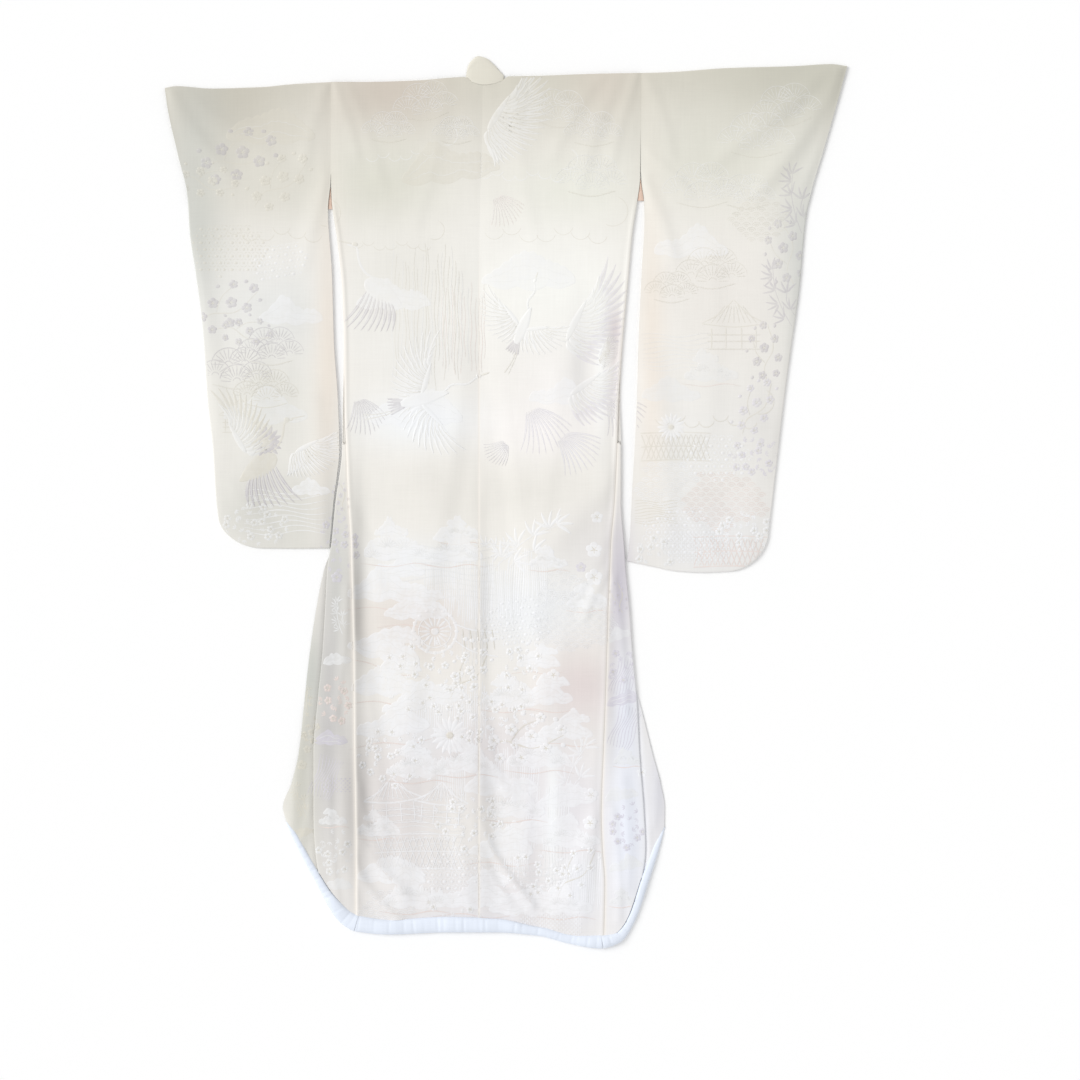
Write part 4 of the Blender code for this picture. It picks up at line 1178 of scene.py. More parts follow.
@dataclass
class Collar:
    """The collar: the stretch behind the neck, and a band down each front edge.

    Attributes:
        wall: Thickness of the doubled collar cloth.
        crown: How far the collar stands proud behind the neck.
        roll: Height of the pressed roll at its free edge.
        lip_reach: How far from that edge the roll comes down again.
    """

    wall: float = COLLAR_WALL
    crown: float = 0.0042
    roll: float = 0.0012
    lip_reach: float = 0.004

    def neck(self, silk: Material) -> Piece:
        """Make the stretch behind the neck, folded over along its free edge.

        Args:
            silk: Its cloth.

        Returns:
            The piece.
        """
        top = polyline(COLLAR_DOME)
        x0, x1 = COLLAR_DOME[0][0], COLLAR_DOME[-1][0]

        def bottom(u: Array) -> Array:
            """The seam to the neck."""
            x = x0 + (x1 - x0) * np.asarray(u, float)
            return side_by_side(x, FORM.shoulder(x) + GAP)

        def side_edge(u_end: float) -> Callable:
            """A short end of the dome."""
            def read(v: Array) -> Array:
                """Points down that end."""
                t = np.asarray(v, float)[..., None]
                return top(np.array(u_end)) * (1 - t) + bottom(np.array(u_end)) * t
            return read
        plan = coons(top, bottom, side_edge(0.0), side_edge(1.0))
        u, v, x, y = spread(plan, spaced(0.05, 0.0018, (0.0005,)), spaced(0.09, 0.002, (0.0005,)))
        edge = quarter(v * DOME_TALL / self.lip_reach)
        hump = (4 * u * (1 - u)).clip(0, 1) ** 0.5 * np.sin(np.pi * (0.12 + 0.70 * v))
        lip = np.exp(-((v * DOME_TALL - 0.006) / self.lip_reach) ** 2)
        z = self.wall * (0.45 + 0.55 * edge) + self.crown * hump * edge + self.roll * lip * hump
        points = side_by_side(x, y, z).reshape(-1, 3)
        return make_piece("collar_neck", points, grid_faces(*u.shape), [silk])

    def band(self, name: str, edge: Line, side: int, silk: Material) -> Piece:
        """Make the collar down one front edge, between the front and the back.

        Args:
            name: The piece's name.
            edge: The front edge.
            side: Which way the band spreads from it.
            silk: Its cloth.

        Returns:
            The piece.
        """
        start = float(FORM.shoulder(edge(np.array(SHOULDER[0][1])))) - BAND_INSET
        rows = start + (COLLAR_END - start) * np.linspace(0, 1, 110)
        y, u = np.meshgrid(rows, np.linspace(0, 1, 8), indexing="ij")
        spread = BAND_NECK + (1 - BAND_NECK) * ease((start - y) / BAND_SPREAD)
        x = edge(y) + side * (3 * GAP + COLLAR_BAND * spread * u * 0.96)
        z = FORM.front_base(y) + CLOTH - 0.0002
        points = side_by_side(x, y, z).reshape(-1, 3)
        return make_piece(name, points, grid_faces(*u.shape, up=side > 0), [silk])


@dataclass
class PaddedHem:
    """The wadded hem roll: gathered round its curves and blind-stitched to the panels.

    Attributes:
        rings: Sections along the whole roll.
        around: Points round a section.
        tick: Spacing of the gathers.
        pinch: How deep a gather pulls in.
        crease: Half the width of a gather's crease.
    """

    rings: int = 420
    around: int = 22
    tick: float = 0.022
    pinch: float = 0.0013
    crease: float = 0.0022

    def build(self, name: str, first: float, last: float, silk: Material) -> Piece:
        """Make one stretch of the roll, closed at both ends.

        Args:
            name: The piece's name.
            first: Share of the roll's length where it starts.
            last: Share where it ends.
            silk: Its cloth.

        Returns:
            The piece.
        """
        count = max(12, round(self.rings * (last - first)))
        share = np.linspace(first, last, count)
        outer, inner, along, width = FORM.hem_frame(share)
        length = share * FORM.hem_length
        rng = np.random.default_rng(5)
        wander = np.cumsum(rng.uniform(0.45, 1.55, 80)) * self.tick
        place = np.abs(length[:, None] - wander[None, :])
        nearest = place.min(1)
        gather = np.exp(-(nearest / self.crease) ** 2)
        strength = 0.35 + 0.65 * np.sin(length * 61.0 + 0.7) ** 2
        swell = 1 + 0.07 * np.sin(length * 43.0) + 0.05 * np.sin(length * 97.0 + 1.0)
        middle, half = (outer + inner) / 2, (outer - inner) / 2
        height = np.minimum(HEM_HEIGHT, width * HEM_FULLNESS) * np.clip(swell, 0.8, 1.06)
        points = []
        for k in range(self.around):
            angle = 2 * np.pi * k / self.around
            across, up = cos(angle), sin(angle)
            across = copysign(abs(across) ** 0.80, across)
            lift = 0.36 + 0.64 * up if up > 0 else 0.36 * (1 - min(1.0, -up * 1.6))
            pull = self.pinch * gather * strength * (0.3 + 0.7 * max(up, 0.0))
            drift = self.crease * across * np.sin(length * 150.0)
            body = middle + half * (across * 0.985) + along * (drift * gather)[:, None]
            z = np.maximum(height * lift - pull, 0.0)
            points.append(np.concatenate([body, z[:, None]], -1))
        rings = np.stack(points, 1)
        flat = rings.reshape(-1, 3)
        j, i = np.meshgrid(np.arange(count - 1), np.arange(self.around), indexing="ij")
        a, nxt = j * self.around + i, j * self.around + (i + 1) % self.around
        faces = side_by_side(a, nxt, nxt + self.around, a + self.around).reshape(-1, 4)
        piece = make_piece(name, flat, faces, [silk])
        self.close(piece)
        return piece

    def close(self, piece: Piece) -> None:
        """Close both ends of a roll and turn its faces outward."""
        bm = bmesh.new()
        bm.from_mesh(piece.data)
        bmesh.ops.holes_fill(bm, edges=[edge for edge in bm.edges if edge.is_boundary])
        bmesh.ops.triangulate(bm, faces=[face for face in bm.faces if len(face.verts) > 4])
        bmesh.ops.recalc_face_normals(bm, faces=bm.faces)
        bm.to_mesh(piece.data)
        bm.free()


@dataclass
class Lining:
    """The rose lining that shows as a sliver where a sleeve parts from the body."""

    length: float = 0.042
    slack: float = 0.0006

    def build(self, name: str, side: int, top: float, silk: Material) -> Piece:
        """Make one sliver.

        Args:
            name: The piece's name.
            side: -1 for the wearer's left, 1 for the right.
            top: y of its upper end.
            silk: Its cloth.

        Returns:
            The piece.
        """
        inner = SLEEVES["left" if side < 0 else "right"].inner
        line = FORM.seam_left if side < 0 else FORM.seam_right
        y, u = np.meshgrid(top - self.length * np.linspace(0, 1, 16), np.linspace(0, 1, 6), indexing="ij")
        near = smooth([p[1] for p in inner], [p[0] for p in inner], y) - side * self.slack
        x = near + (line(y) + side * self.slack - near) * u
        z = CLOTH + GAP + self.slack * np.sin(np.pi * u) + 0.0003 * np.sin(y * 420)
        points = side_by_side(x, y, z).reshape(-1, 3)
        return make_piece(name, points, grid_faces(*u.shape, up=side < 0), [silk])


# ------------------------------------------------------------------ figures
class Stroke(NamedTuple):
    """A float of thread between two lines: points, cells across, colour and height."""

    low: Array
    high: Array
    across: int
    thread: Thread
    lift: float


STITCH = 0.0045         # spacing of a float's points along it
FLOAT_HEIGHT = 0.00020  # how far a float stands off the ground
FLOAT_SINK = 0.00012    # how far its edges are bound down
STEEPEST = 0.15         # most that a float's edge drops, as a share of its width


@dataclass
class Pen:
    """Draws floats in a figure's own units, turned and placed on the garment.

    Attributes:
        x: Middle of the figure across the garment.
        y: Middle of the figure along it.
        size: Metres for one unit.
        turn: Angle in degrees.
        flip: -1 to mirror the figure, else 1.
        strokes: Where the floats are gathered.
    """

    x: float
    y: float
    size: float
    turn: float = 0.0
    flip: int = 1
    strokes: List[Stroke] = field(default_factory=list)

    def place(self, points: Array) -> Array:
        """Figure units to metres on the garment."""
        a = radians(self.turn)
        px, py = points[..., 0] * self.flip * self.size, points[..., 1] * self.size
        return side_by_side(self.x + px * cos(a) - py * sin(a),
                         self.y + px * sin(a) + py * cos(a))

    def moved(self, x: float, y: float, size: float, turn: float = 0.0) -> "Pen":
        """A pen for a detail of the figure, in the figure's units."""
        spot = self.place(np.array([x, y]))
        return Pen(float(spot[0]), float(spot[1]), self.size * size, self.turn + turn * self.flip,
                   self.flip, self.strokes)

    def strip(self, low: Array, high: Array, thread: Thread, lift: float = 1.0) -> None:
        """Fill the space between two lines with one float.

        Args:
            low: One line, in figure units.
            high: The other, with as many points.
            thread: Its colour.
            lift: Its height, as a share of a plain float's.
        """
        a, b = self.place(low), self.place(high)
        wide = float(np.max(np.linalg.norm(b - a, axis=-1)))
        across = 2 if wide < 0.007 else 2 + int(wide / STITCH)
        self.strokes.append(Stroke(a, b, across, thread, lift))

    def line(self, points: Sequence[Tuple[float, float]], width: float, thread: Thread,
             taper: float = 0.0, lift: float = 1.0) -> None:
        """A thin float along a curve.

        Args:
            points: The curve's points, in figure units.
            width: Its width in metres.
            thread: Its colour.
            taper: 0 for even, 1 for pointed at both ends.
            lift: Its height.
        """
        given = np.asarray(points, float)
        marks = np.append(0.0, np.cumsum(np.hypot(*np.diff(given, axis=0).T)))
        count = max(2, min(60, int(marks[-1] * self.size / STITCH))) + 1
        t = np.linspace(0, marks[-1], count)
        if len(given) > 2:
            curve = np.stack([smooth(marks, given[:, k], t) for k in (0, 1)], -1)
        else:
            curve = given[0] + (given[1] - given[0]) * (t / marks[-1])[:, None]
        run = np.gradient(curve, axis=0)
        run /= np.maximum(np.linalg.norm(run, axis=-1, keepdims=True), 1e-9)
        side = side_by_side(-run[:, 1], run[:, 0])
        share = t / marks[-1]
        half = width / 2 / self.size * (1 - taper * np.abs(2 * share - 1) ** 2 * 0.9)
        self.strip(curve - side * half[:, None], curve + side * half[:, None], thread, lift)

    def leaf(self, x: float, y: float, angle: float, length: float, width: float,
             thread: Thread, bend: float = 0.0, lift: float = 1.0) -> None:
        """A lens-shaped float from a point: a petal, a feather, a needle or a leaf.

        Args:
            x: Where it starts.
            y: Where it starts.
            angle: Its direction in degrees.
            length: Its length.
            width: Its width.
            thread: Its colour.
            bend: How far its middle bows sideways.
            lift: Its height.
        """
        count = max(3, min(26, int(length * self.size / STITCH))) + 1
        t = np.linspace(0, 1, count)
        half = width / 2 * np.sin(np.pi * t ** 0.72) ** 0.8
        middle = bend * 4 * t * (1 - t)
        a = radians(angle)
        along, off = t * length, middle
        low = side_by_side(x + along * cos(a) - (off - half) * sin(a),
                        y + along * sin(a) + (off - half) * cos(a))
        high = side_by_side(x + along * cos(a) - (off + half) * sin(a),
                         y + along * sin(a) + (off + half) * cos(a))
        self.strip(low, high, thread, lift)

    def disc(self, x: float, y: float, radius: float, thread: Thread, lift: float = 1.0) -> None:
        """A round float."""
        count = max(4, min(24, int(2 * radius * self.size / STITCH) + 3))
        a = np.linspace(0, np.pi, count + 1)
        low = side_by_side(x - radius * np.cos(a), y - radius * np.sin(a))
        high = side_by_side(x - radius * np.cos(a), y + radius * np.sin(a))
        self.strip(low, high, thread, lift)

    def ring(self, x: float, y: float, radius: float, width: float, thread: Thread,
             start: float = 0.0, end: float = 360.0) -> None:
        """An arc of a ring, its width in metres and its angles in degrees."""
        length = radians(end - start) * radius * self.size
        a = np.radians(np.linspace(start, end, max(5, min(60, int(length / STITCH))) + 1))
        half = width / 2 / self.size
        way = side_by_side(np.cos(a), np.sin(a))
        spot = np.array([x, y])
        self.strip(spot + way * (radius - half), spot + way * (radius + half), thread)


# Each figure's function takes a pen at the figure's middle, one unit being its size in metres,
# and the thread that it is woven in.  Widths of lines and rings are in metres.
def draw_bank(pen: Pen, thread: Thread, ragged: float = 0.0, height: float = 0.42) -> None:
    """A bank of cloud or pine: scalloped on top, thinning to both ends, with a stitched edge.

    Args:
        pen: A pen at the bank's middle, one unit being its length.
        thread: Its colour.
        ragged: How far its top is jagged rather than scalloped.
        height: Its height.
    """
    rng = np.random.default_rng(int(abs(pen.x * 7919 + pen.y * 104729)))
    count = max(18, min(80, int(pen.size / 0.0024)))
    bumps = max(3, round(pen.size / 0.017))
    x = np.linspace(-0.5, 0.5, count + 1)
    body = np.clip(1 - (2 * x) ** 2, 0, 1) ** 0.5
    phase, shift = rng.uniform(0, 1), rng.uniform(-0.22, 0.22)
    wander = 0.25 * np.sin(7.0 * x + phase * 6)
    scallop = np.abs(np.sin(np.pi * (bumps * (x + 0.5) + phase + wander)))
    swell = 0.55 + 0.45 * np.exp(-((x - shift) / 0.20) ** 2) + 0.12 * np.sin(11 * x + 5 * phase)
    jag = ragged * rng.uniform(-1, 1, count + 1)
    top = body * (height * 0.80 * swell + (1 - 4 * ragged) * 0.30 / bumps * scallop + jag)
    low = -height * 0.20 * body * (0.6 + 0.6 * np.abs(np.sin(np.pi * (3.2 * x + phase * 2))))
    pen.strip(side_by_side(x, low), side_by_side(x, top), thread)
    if pen.size > 0.06:
        inner = side_by_side(x, low + (top - low) * 0.62)[3:-3:2]
        pen.line(inner.tolist(), 0.0016, PEARL, 0.8, 1.8)
        inner = side_by_side(x, low + (top - low) * (0.28 + 0.06 * np.sin(14 * x)))[5:-4:2]
        pen.line(inner.tolist(), 0.0015, PEARL, 0.8, 1.8)


def draw_cloud(pen: Pen, thread: Thread) -> None:
    """Two cloud banks, one over the other, with a trailing line below."""
    draw_bank(pen, thread)
    draw_bank(pen.moved(0.16, 0.26, 0.58), thread)
    pen.line([(-0.62, -0.20), (-0.2, -0.15), (0.2, -0.21), (0.58, -0.15)], 0.0022, ROSE, 1.0)


def draw_cloud_line(pen: Pen, thread: Thread) -> None:
    """The outline of a cloud, as hanging scallops."""
    for k in range(7):
        x = -0.45 + 0.15 * k
        drop = 0.04 * sin(k * 1.9)
        pen.ring(x, drop, 0.085, 0.0022, thread, 190, 350)
    pen.ring(0.58, 0.16, 0.13, 0.0022, thread, -120, 70)


def draw_pine(pen: Pen, thread: Thread) -> None:
    """Pine foliage: a ragged bank crowned with fans of needles."""
    draw_bank(pen, thread, 0.05, 0.44)
    draw_bank(pen.moved(-0.10, 0.30, 0.50), thread, 0.06, 0.5)
    for x, y, reach in ((-0.36, 0.02, 0.15), (-0.16, 0.16, 0.17), (0.08, 0.14, 0.17),
                        (0.30, 0.04, 0.15)):
        for k in range(9):
            pen.leaf(x, y - 0.06, 14 + 19 * k, reach, 0.0016 / pen.size, PEARL, 0.0, 1.9)
    pen.line([(-0.55, -0.12), (-0.1, -0.17), (0.25, -0.12), (0.56, -0.17)], 0.0024, ROSE, 1.0)


def draw_tuft(pen: Pen, thread: Thread) -> None:
    """Pine tufts in outline: overlapping fans of fine needles on a short twig."""
    for x, y, reach in ((-0.34, -0.02, 0.26), (0.34, -0.04, 0.26), (-0.12, 0.16, 0.28),
                        (0.16, 0.18, 0.27), (0.02, -0.12, 0.28)):
        for k in range(11):
            angle = 3 + 17.4 * k
            a = radians(angle)
            pen.line([(x + 0.3 * reach * cos(a), y + 0.3 * reach * sin(a)),
                      (x + reach * cos(a), y + reach * sin(a))], 0.0013, thread, 0.5)
        pen.ring(x, y, reach * 0.24, 0.0014, thread, 0, 180)
        pen.ring(x, y, reach * 1.02, 0.0013, thread, 8, 172)
    pen.line([(-0.4, -0.16), (0.0, -0.24), (0.42, -0.15)], 0.0020, SAND, 0.6)


def draw_plum(pen: Pen, thread: Thread) -> None:
    """A plum blossom of five round petals, with its stamens."""
    for k in range(5):
        a = radians(90 + 72 * k)
        pen.disc(0.27 * cos(a), 0.27 * sin(a), 0.235, thread)
    for k in range(5):
        pen.leaf(0, 0, 54 + 72 * k, 0.30, 0.06, SAND, 0.0, 2.0)
    pen.disc(0, 0, 0.09, SAND, 2.0)


def draw_spray(pen: Pen, thread: Thread) -> None:
    """A branch with plum blossoms and buds."""
    pen.line([(-0.52, -0.22), (-0.25, -0.06), (0.05, -0.10), (0.5, 0.16)], 0.0036, SAND, 0.7)
    pen.line([(-0.2, -0.06), (-0.08, 0.16), (0.12, 0.30)], 0.0024, SAND, 0.8)
    for x, y, s in ((-0.42, -0.08, 0.17), (-0.22, 0.10, 0.18), (-0.02, -0.24, 0.17),
                    (0.06, 0.06, 0.19), (0.14, 0.33, 0.15), (0.28, -0.06, 0.17),
                    (0.44, 0.22, 0.16), (-0.30, -0.30, 0.15)):
        draw_plum(pen.moved(x, y, s, 40 * x), thread)
    for x, y in ((-0.1, 0.34), (0.34, 0.34), (0.5, 0.02), (-0.52, 0.08)):
        pen.disc(x, y, 0.035, thread)


def draw_rayed(pen: Pen, thread: Thread) -> None:
    """A flower of many narrow petals round a small eye."""
    for k in range(16):
        a = radians(22.5 * k)
        pen.leaf(0.1 * cos(a), 0.1 * sin(a), 22.5 * k, 0.40, 0.15, thread)
    pen.disc(0, 0, 0.09, SAND, 1.6)


def draw_wheel(pen: Pen, thread: Thread) -> None:
    """A court carriage's wheel, with a shaft and a rail beside it."""
    pen.ring(0, 0, 0.44, 0.0060, thread)
    pen.ring(0, 0, 0.33, 0.0024, thread)
    for k in range(16):
        a = radians(22.5 * k)
        pen.leaf(0.09 * cos(a), 0.09 * sin(a), 22.5 * k, 0.25, 0.05, thread)
        pen.disc(0.44 * cos(a), 0.44 * sin(a), 0.045, thread)
    pen.disc(0, 0, 0.08, thread, 1.4)
    pen.line([(0.42, 0.14), (0.8, 0.02), (1.3, -0.02)], 0.0034, thread, 0.3)
    pen.line([(0.40, -0.18), (0.8, -0.42), (1.3, -0.52)], 0.0034, thread, 0.3)
    for k in range(5):
        pen.disc(0.62 + 0.14 * k, -0.16 - 0.03 * (k % 2), 0.055, thread)
        pen.line([(0.56 + 0.15 * k, 0.06), (0.62 + 0.15 * k, -0.38)], 0.0018, SAND)


def draw_wing(pen: Pen, thread: Thread, tips: Thread, start: float, end: float,
              feathers: int = 15) -> None:
    """A spread wing: long flight feathers, two rows of coverts and a firm leading edge.

    Args:
        pen: A pen at the wing's root.
        thread: The coverts' colour.
        tips: The flight feathers' colour.
        start: Direction of the outermost feather, in degrees.
        end: Direction of the innermost.
        feathers: How many flight feathers there are.
    """
    lead = radians(start)
    arm = 0.42
    for row, (reach, width, share) in enumerate(((1.0, 0.075, 1.0), (0.62, 0.085, 0.8), (0.36, 0.08, 0.6))):
        count = max(4, round(feathers * share))
        for k in range(count):
            t = k / (count - 1)
            x, y = arm * (1 - t) * cos(lead), arm * (1 - t) * sin(lead)
            angle = start + (end - start) * t ** 0.85
            long = reach * (0.62 + 0.10 * sin(2.6 * t)) * (1 - 0.30 * t)
            bend = 0.05 * (1 if end > start else -1)
            pen.leaf(x, y, angle, long, width, tips if row == 0 else thread, bend, 1.0 + 0.7 * row)
            if row < 2:
                pen.leaf(x, y, angle, long * 0.96, 0.0014 / pen.size, SAND, bend, 2.0 + 0.7 * row)
    pen.leaf(-0.02 * cos(lead), -0.02 * sin(lead), start, arm * 1.25, 0.10, thread, 0.0, 3.0)


def draw_crane(pen: Pen, thread: Thread) -> None:
    """A crane in flight: neck out, legs trailing, both wings spread."""
    draw_wing(pen.moved(0.00, 0.05, 0.52), thread, thread, 62, 168, 13)
    draw_wing(pen.moved(-0.02, -0.03, 0.50), thread, thread, -58, -160, 12)
    pen.leaf(-0.20, 0.0, 2, 0.42, 0.12, thread, 0.0, 3.2)
    for k in range(6):
        pen.leaf(-0.10, 0.0, 160 + 8 * k, 0.20, 0.035, SMOKE, 0.0, 2.6)
    pen.line([(0.16, 0.02), (0.26, 0.07), (0.36, 0.05), (0.46, 0.09)], 0.0048, thread, 0.3, 2.6)
    pen.disc(0.47, 0.092, 0.022, thread, 3.0)
    pen.leaf(0.48, 0.094, 6, 0.09, 0.014, SAND, 0.0, 2.2)
    for k in (0, 1):
        pen.line([(-0.16, -0.01), (-0.34, -0.04 - 0.02 * k), (-0.50, -0.02 - 0.04 * k)],
                 0.0018, SAND)


def draw_standing(pen: Pen, thread: Thread) -> None:
    """A crane alighting: a long curved neck, folded wing and dark tail plumes."""
    pen.line([(-0.34, 0.48), (-0.24, 0.44), (-0.22, 0.32), (-0.16, 0.20), (0.0, 0.10)], 0.0060,
             thread, 0.2, 2.2)
    pen.disc(-0.26, 0.475, 0.030, SAND, 2.6)
    pen.leaf(-0.28, 0.48, 168, 0.18, 0.018, SAND, 0.0, 2.0)
    pen.leaf(-0.16, 0.12, -35, 0.46, 0.22, thread, 0.0, 1.6)
    for k in range(9):
        pen.leaf(-0.14 + 0.03 * k, 0.02 - 0.015 * k, -128 + 5 * k, 0.46 - 0.02 * k, 0.040,
                 SMOKE, 0.03, 1.2)
        pen.leaf(-0.14 + 0.03 * k, 0.02 - 0.015 * k, -128 + 5 * k, 0.44 - 0.02 * k,
                 0.0014 / pen.size, PEARL, 0.03, 1.9)


def draw_tail(pen: Pen, thread: Thread) -> None:
    """Plumes of a tail or a wing's end, as a fan of long narrow feathers."""
    for k in range(11):
        pen.leaf(0.02 * k - 0.1, 0.0, -118 + 7 * k, 0.9 - 0.03 * abs(k - 5), 0.055, thread, 0.05)
        pen.leaf(0.02 * k - 0.1, 0.0, -118 + 7 * k, 0.86 - 0.03 * abs(k - 5), 0.0013 / pen.size,
                 WHITE, 0.05, 1.9)


def draw_bamboo(pen: Pen, thread: Thread) -> None:
    """Bamboo leaves in sprays of three to five on thin canes."""
    pen.line([(-0.5, -0.34), (-0.2, -0.10), (0.15, 0.10), (0.5, 0.20)], 0.0022, thread, 0.4)
    pen.line([(-0.3, -0.36), (0.0, -0.14), (0.3, -0.12)], 0.0020, thread, 0.4)
    for x, y, lean in ((-0.36, -0.18, 70), (-0.12, -0.02, 110), (0.12, 0.08, 60), (0.36, 0.17, 95),
                       (0.1, -0.14, 20), (0.46, 0.2, 15), (-0.2, -0.26, 0)):
        for k in range(4):
            pen.leaf(x, y, lean - 54 + 36 * k, 0.26, 0.052, thread, 0.015)


def lattice(pitch: float, rise: float, tall: float) -> Iterable[Tuple[int, int, float, float]]:
    """Points of rows that are set off by half a pitch, over a figure's area.

    Args:
        pitch: Spacing along a row.
        rise: Spacing of the rows, as a share of the pitch.
        tall: Height of the area.

    Yields:
        Number along the row, number of the row, x and y.
    """
    rows, cols = int(tall / (pitch * rise)), int(1.0 / pitch)
    for j in range(-rows // 2, rows // 2 + 1):
        for i in range(-cols // 2, cols // 2 + 1):
            yield i, j, (i + 0.5 * (j % 2)) * pitch, j * pitch * rise


def draw_kikko(pen: Pen, thread: Thread) -> None:
    """Hexagon lattice with a small flower in each cell, in a rounded area."""
    pitch = 0.0155 / pen.size
    corner = pitch * 0.577
    for i, j, x, y in lattice(pitch, 0.87, 0.62):
        if (x / 0.5) ** 2 + (y / 0.31) ** 2 > 1 + 0.16 * sin(5 * x * 6 + 3 * y * 9):
            continue
        for k in range(3):
            a0, a1 = radians(30 + 60 * k), radians(90 + 60 * k)
            pen.line([(x + corner * cos(a0), y + corner * sin(a0)),
                      (x + corner * cos(a1), y + corner * sin(a1))], 0.0019, thread)
        if (i + j) % 2:
            pen.disc(x, y, pitch * 0.24, thread, 1.2)
        else:
            for k in range(3):
                a = radians(60 * k)
                pen.leaf(x - 0.3 * pitch * cos(a), y - 0.3 * pitch * sin(a), 60 * k,
                         0.6 * pitch, 0.16 * pitch, thread, 0.0, 1.2)


def draw_waves(pen: Pen, thread: Thread) -> None:
    """Rows of overlapping wave scales in a rounded area."""
    pitch = 0.020 / pen.size
    for _, _, x, y in lattice(pitch, 0.5, 0.7):
        if (x / 0.5) ** 2 + (y / 0.36) ** 2 > 1 + 0.18 * sin(7 * x + 11 * y):
            continue
        for share in (0.48, 0.29, 0.12):
            pen.ring(x, y, pitch * share, 0.0017, thread, 12, 168)


def draw_water(pen: Pen, thread: Thread) -> None:
    """Falling or running water as long wavering lines."""
    rng = np.random.default_rng(int(abs(pen.x * 5003 + pen.y * 7001)) + 3)
    count = int(0.9 * pen.size / 0.0065)
    for k in range(count):
        x = -0.45 + 0.9 * (k + rng.uniform(-0.2, 0.2)) / count
        top, low = rng.uniform(0.55, 0.95), rng.uniform(-0.95, -0.5)
        points = [(x + 0.012 * sin(9 * y + k * 0.8), y) for y in np.linspace(top, low, 14)]
        pen.line(points, 0.0017, thread if k % 3 else PEARL, 0.6)


def draw_fall(pen: Pen, thread: Thread) -> None:
    """Falling water: a sheaf of long upright floats side by side, with ragged ends."""
    rng = np.random.default_rng(int(abs(pen.x * 3301 + pen.y * 4409)) + 5)
    count = max(6, int(0.62 * pen.size / 0.0042))
    for k in range(count):
        x = 0.62 * ((k + 0.5) / count - 0.5)
        top, low = 0.5 - rng.uniform(0, 0.22), -0.5 + rng.uniform(0, 0.30)
        points = [(x + 0.012 * sin(6 * y + 0.3 * k), y) for y in np.linspace(top, low, 9)]
        pen.line(points, 0.0036, thread if k % 4 else PEARL, 0.35)


def draw_ripples(pen: Pen, thread: Thread) -> None:
    """A stream: level lines that swell and part."""
    for k in range(9):
        y = -0.24 + 0.06 * k
        points = [(x, y + 0.028 * sin(8 * x + k * 0.55)) for x in np.linspace(-0.5, 0.5, 16)]
        pen.line(points, 0.0021, thread, 0.8)


def draw_roof(pen: Pen, thread: Thread) -> None:
    """A pavilion: a hipped roof with ribs, a veranda and its posts."""
    pen.line([(-0.5, 0.05), (-0.22, 0.20), (0.0, 0.42)], 0.0036, thread, 0.2)
    pen.line([(0.5, 0.05), (0.22, 0.20), (0.0, 0.42)], 0.0036, thread, 0.2)
    pen.line([(-0.5, 0.05), (0.0, 0.0), (0.5, 0.05)], 0.0034, thread, 0.2)
    for k in range(9):
        x = -0.36 + 0.09 * k
        pen.line([(x * 0.35, 0.34), (x, 0.05)], 0.0018, thread)
    for x in (-0.34, -0.12, 0.12, 0.34):
        pen.line([(x, 0.0), (x, -0.34)], 0.0024, thread)
    for y in (-0.12, -0.22, -0.34):
        pen.line([(-0.42, y), (0.42, y)], 0.0020, thread)


def draw_fence(pen: Pen, thread: Thread) -> None:
    """A brushwood fence or basket: a lattice of crossed canes between two rails."""
    for k in range(13):
        x = -0.5 + 0.083 * k
        pen.line([(x, -0.22), (x + 0.16, 0.22)], 0.0018, thread)
        pen.line([(x + 0.16, -0.22), (x, 0.22)], 0.0018, thread)
    for y in (-0.23, 0.0, 0.23):
        pen.line([(-0.52, y), (0.1, y + 0.02), (0.68, y)], 0.0026, thread, 0.3)


def draw_net(pen: Pen, thread: Thread) -> None:
    """Dots in diagonal rows, like fine tied spots."""
    pitch = 0.0085 / pen.size
    count = int(0.5 / pitch)
    for j in range(-count, count + 1):
        for i in range(-count, count + 1):
            x, y = (i + 0.5 * (j % 2)) * pitch, j * pitch * 0.5
            if abs(x) < 0.5 and (x / 0.5) ** 2 + (y / 0.5) ** 2 < 1.1:
                pen.disc(x, y, pitch * 0.22, thread)


def draw_carpet(pen: Pen, thread: Thread) -> None:
    """Small flowers and leaves strewn thickly over a rounded area."""
    rng = np.random.default_rng(int(abs(pen.x * 911 + pen.y * 3571)) + 7)
    spots: List[Tuple[float, float]] = []
    for _ in range(260):
        x, y = rng.uniform(-0.5, 0.5), rng.uniform(-0.36, 0.36)
        if (x / 0.5) ** 2 + (y / 0.36) ** 2 > 1:
            continue
        if all((x - a) ** 2 + (y - b) ** 2 > (0.013 / pen.size) ** 2 for a, b in spots):
            spots.append((x, y))
    for k, (x, y) in enumerate(spots):
        lean = rng.uniform(0, 360)
        if k % 3 == 0:
            draw_plum(pen.moved(x, y, 0.017 / pen.size, lean), thread)
        else:
            for turn in (-38, 0, 38):
                pen.leaf(x, y, lean + turn, 0.010 / pen.size, 0.0036 / pen.size, thread)


def draw_dark_wing(pen: Pen, thread: Thread) -> None:
    """A crane's wing whose flight feathers are dark."""
    draw_wing(pen, PEARL, thread, 60, -42, 15)


def draw_white_wing(pen: Pen, thread: Thread) -> None:
    """A large white wing with ragged lower feathers."""
    draw_wing(pen, thread, thread, 58, -72, 19)
    for k in range(7):
        pen.leaf(0.0, -0.03 * k, -20 - 9 * k, 0.30, 0.05, thread, 0.02, 2.4)


class Motif(NamedTuple):
    """Where one figure stands: its middle, size in metres, turn, thread and mirror."""

    x: float
    y: float
    size: float
    turn: float = 0.0
    thread: Thread = WHITE
    flip: int = 1


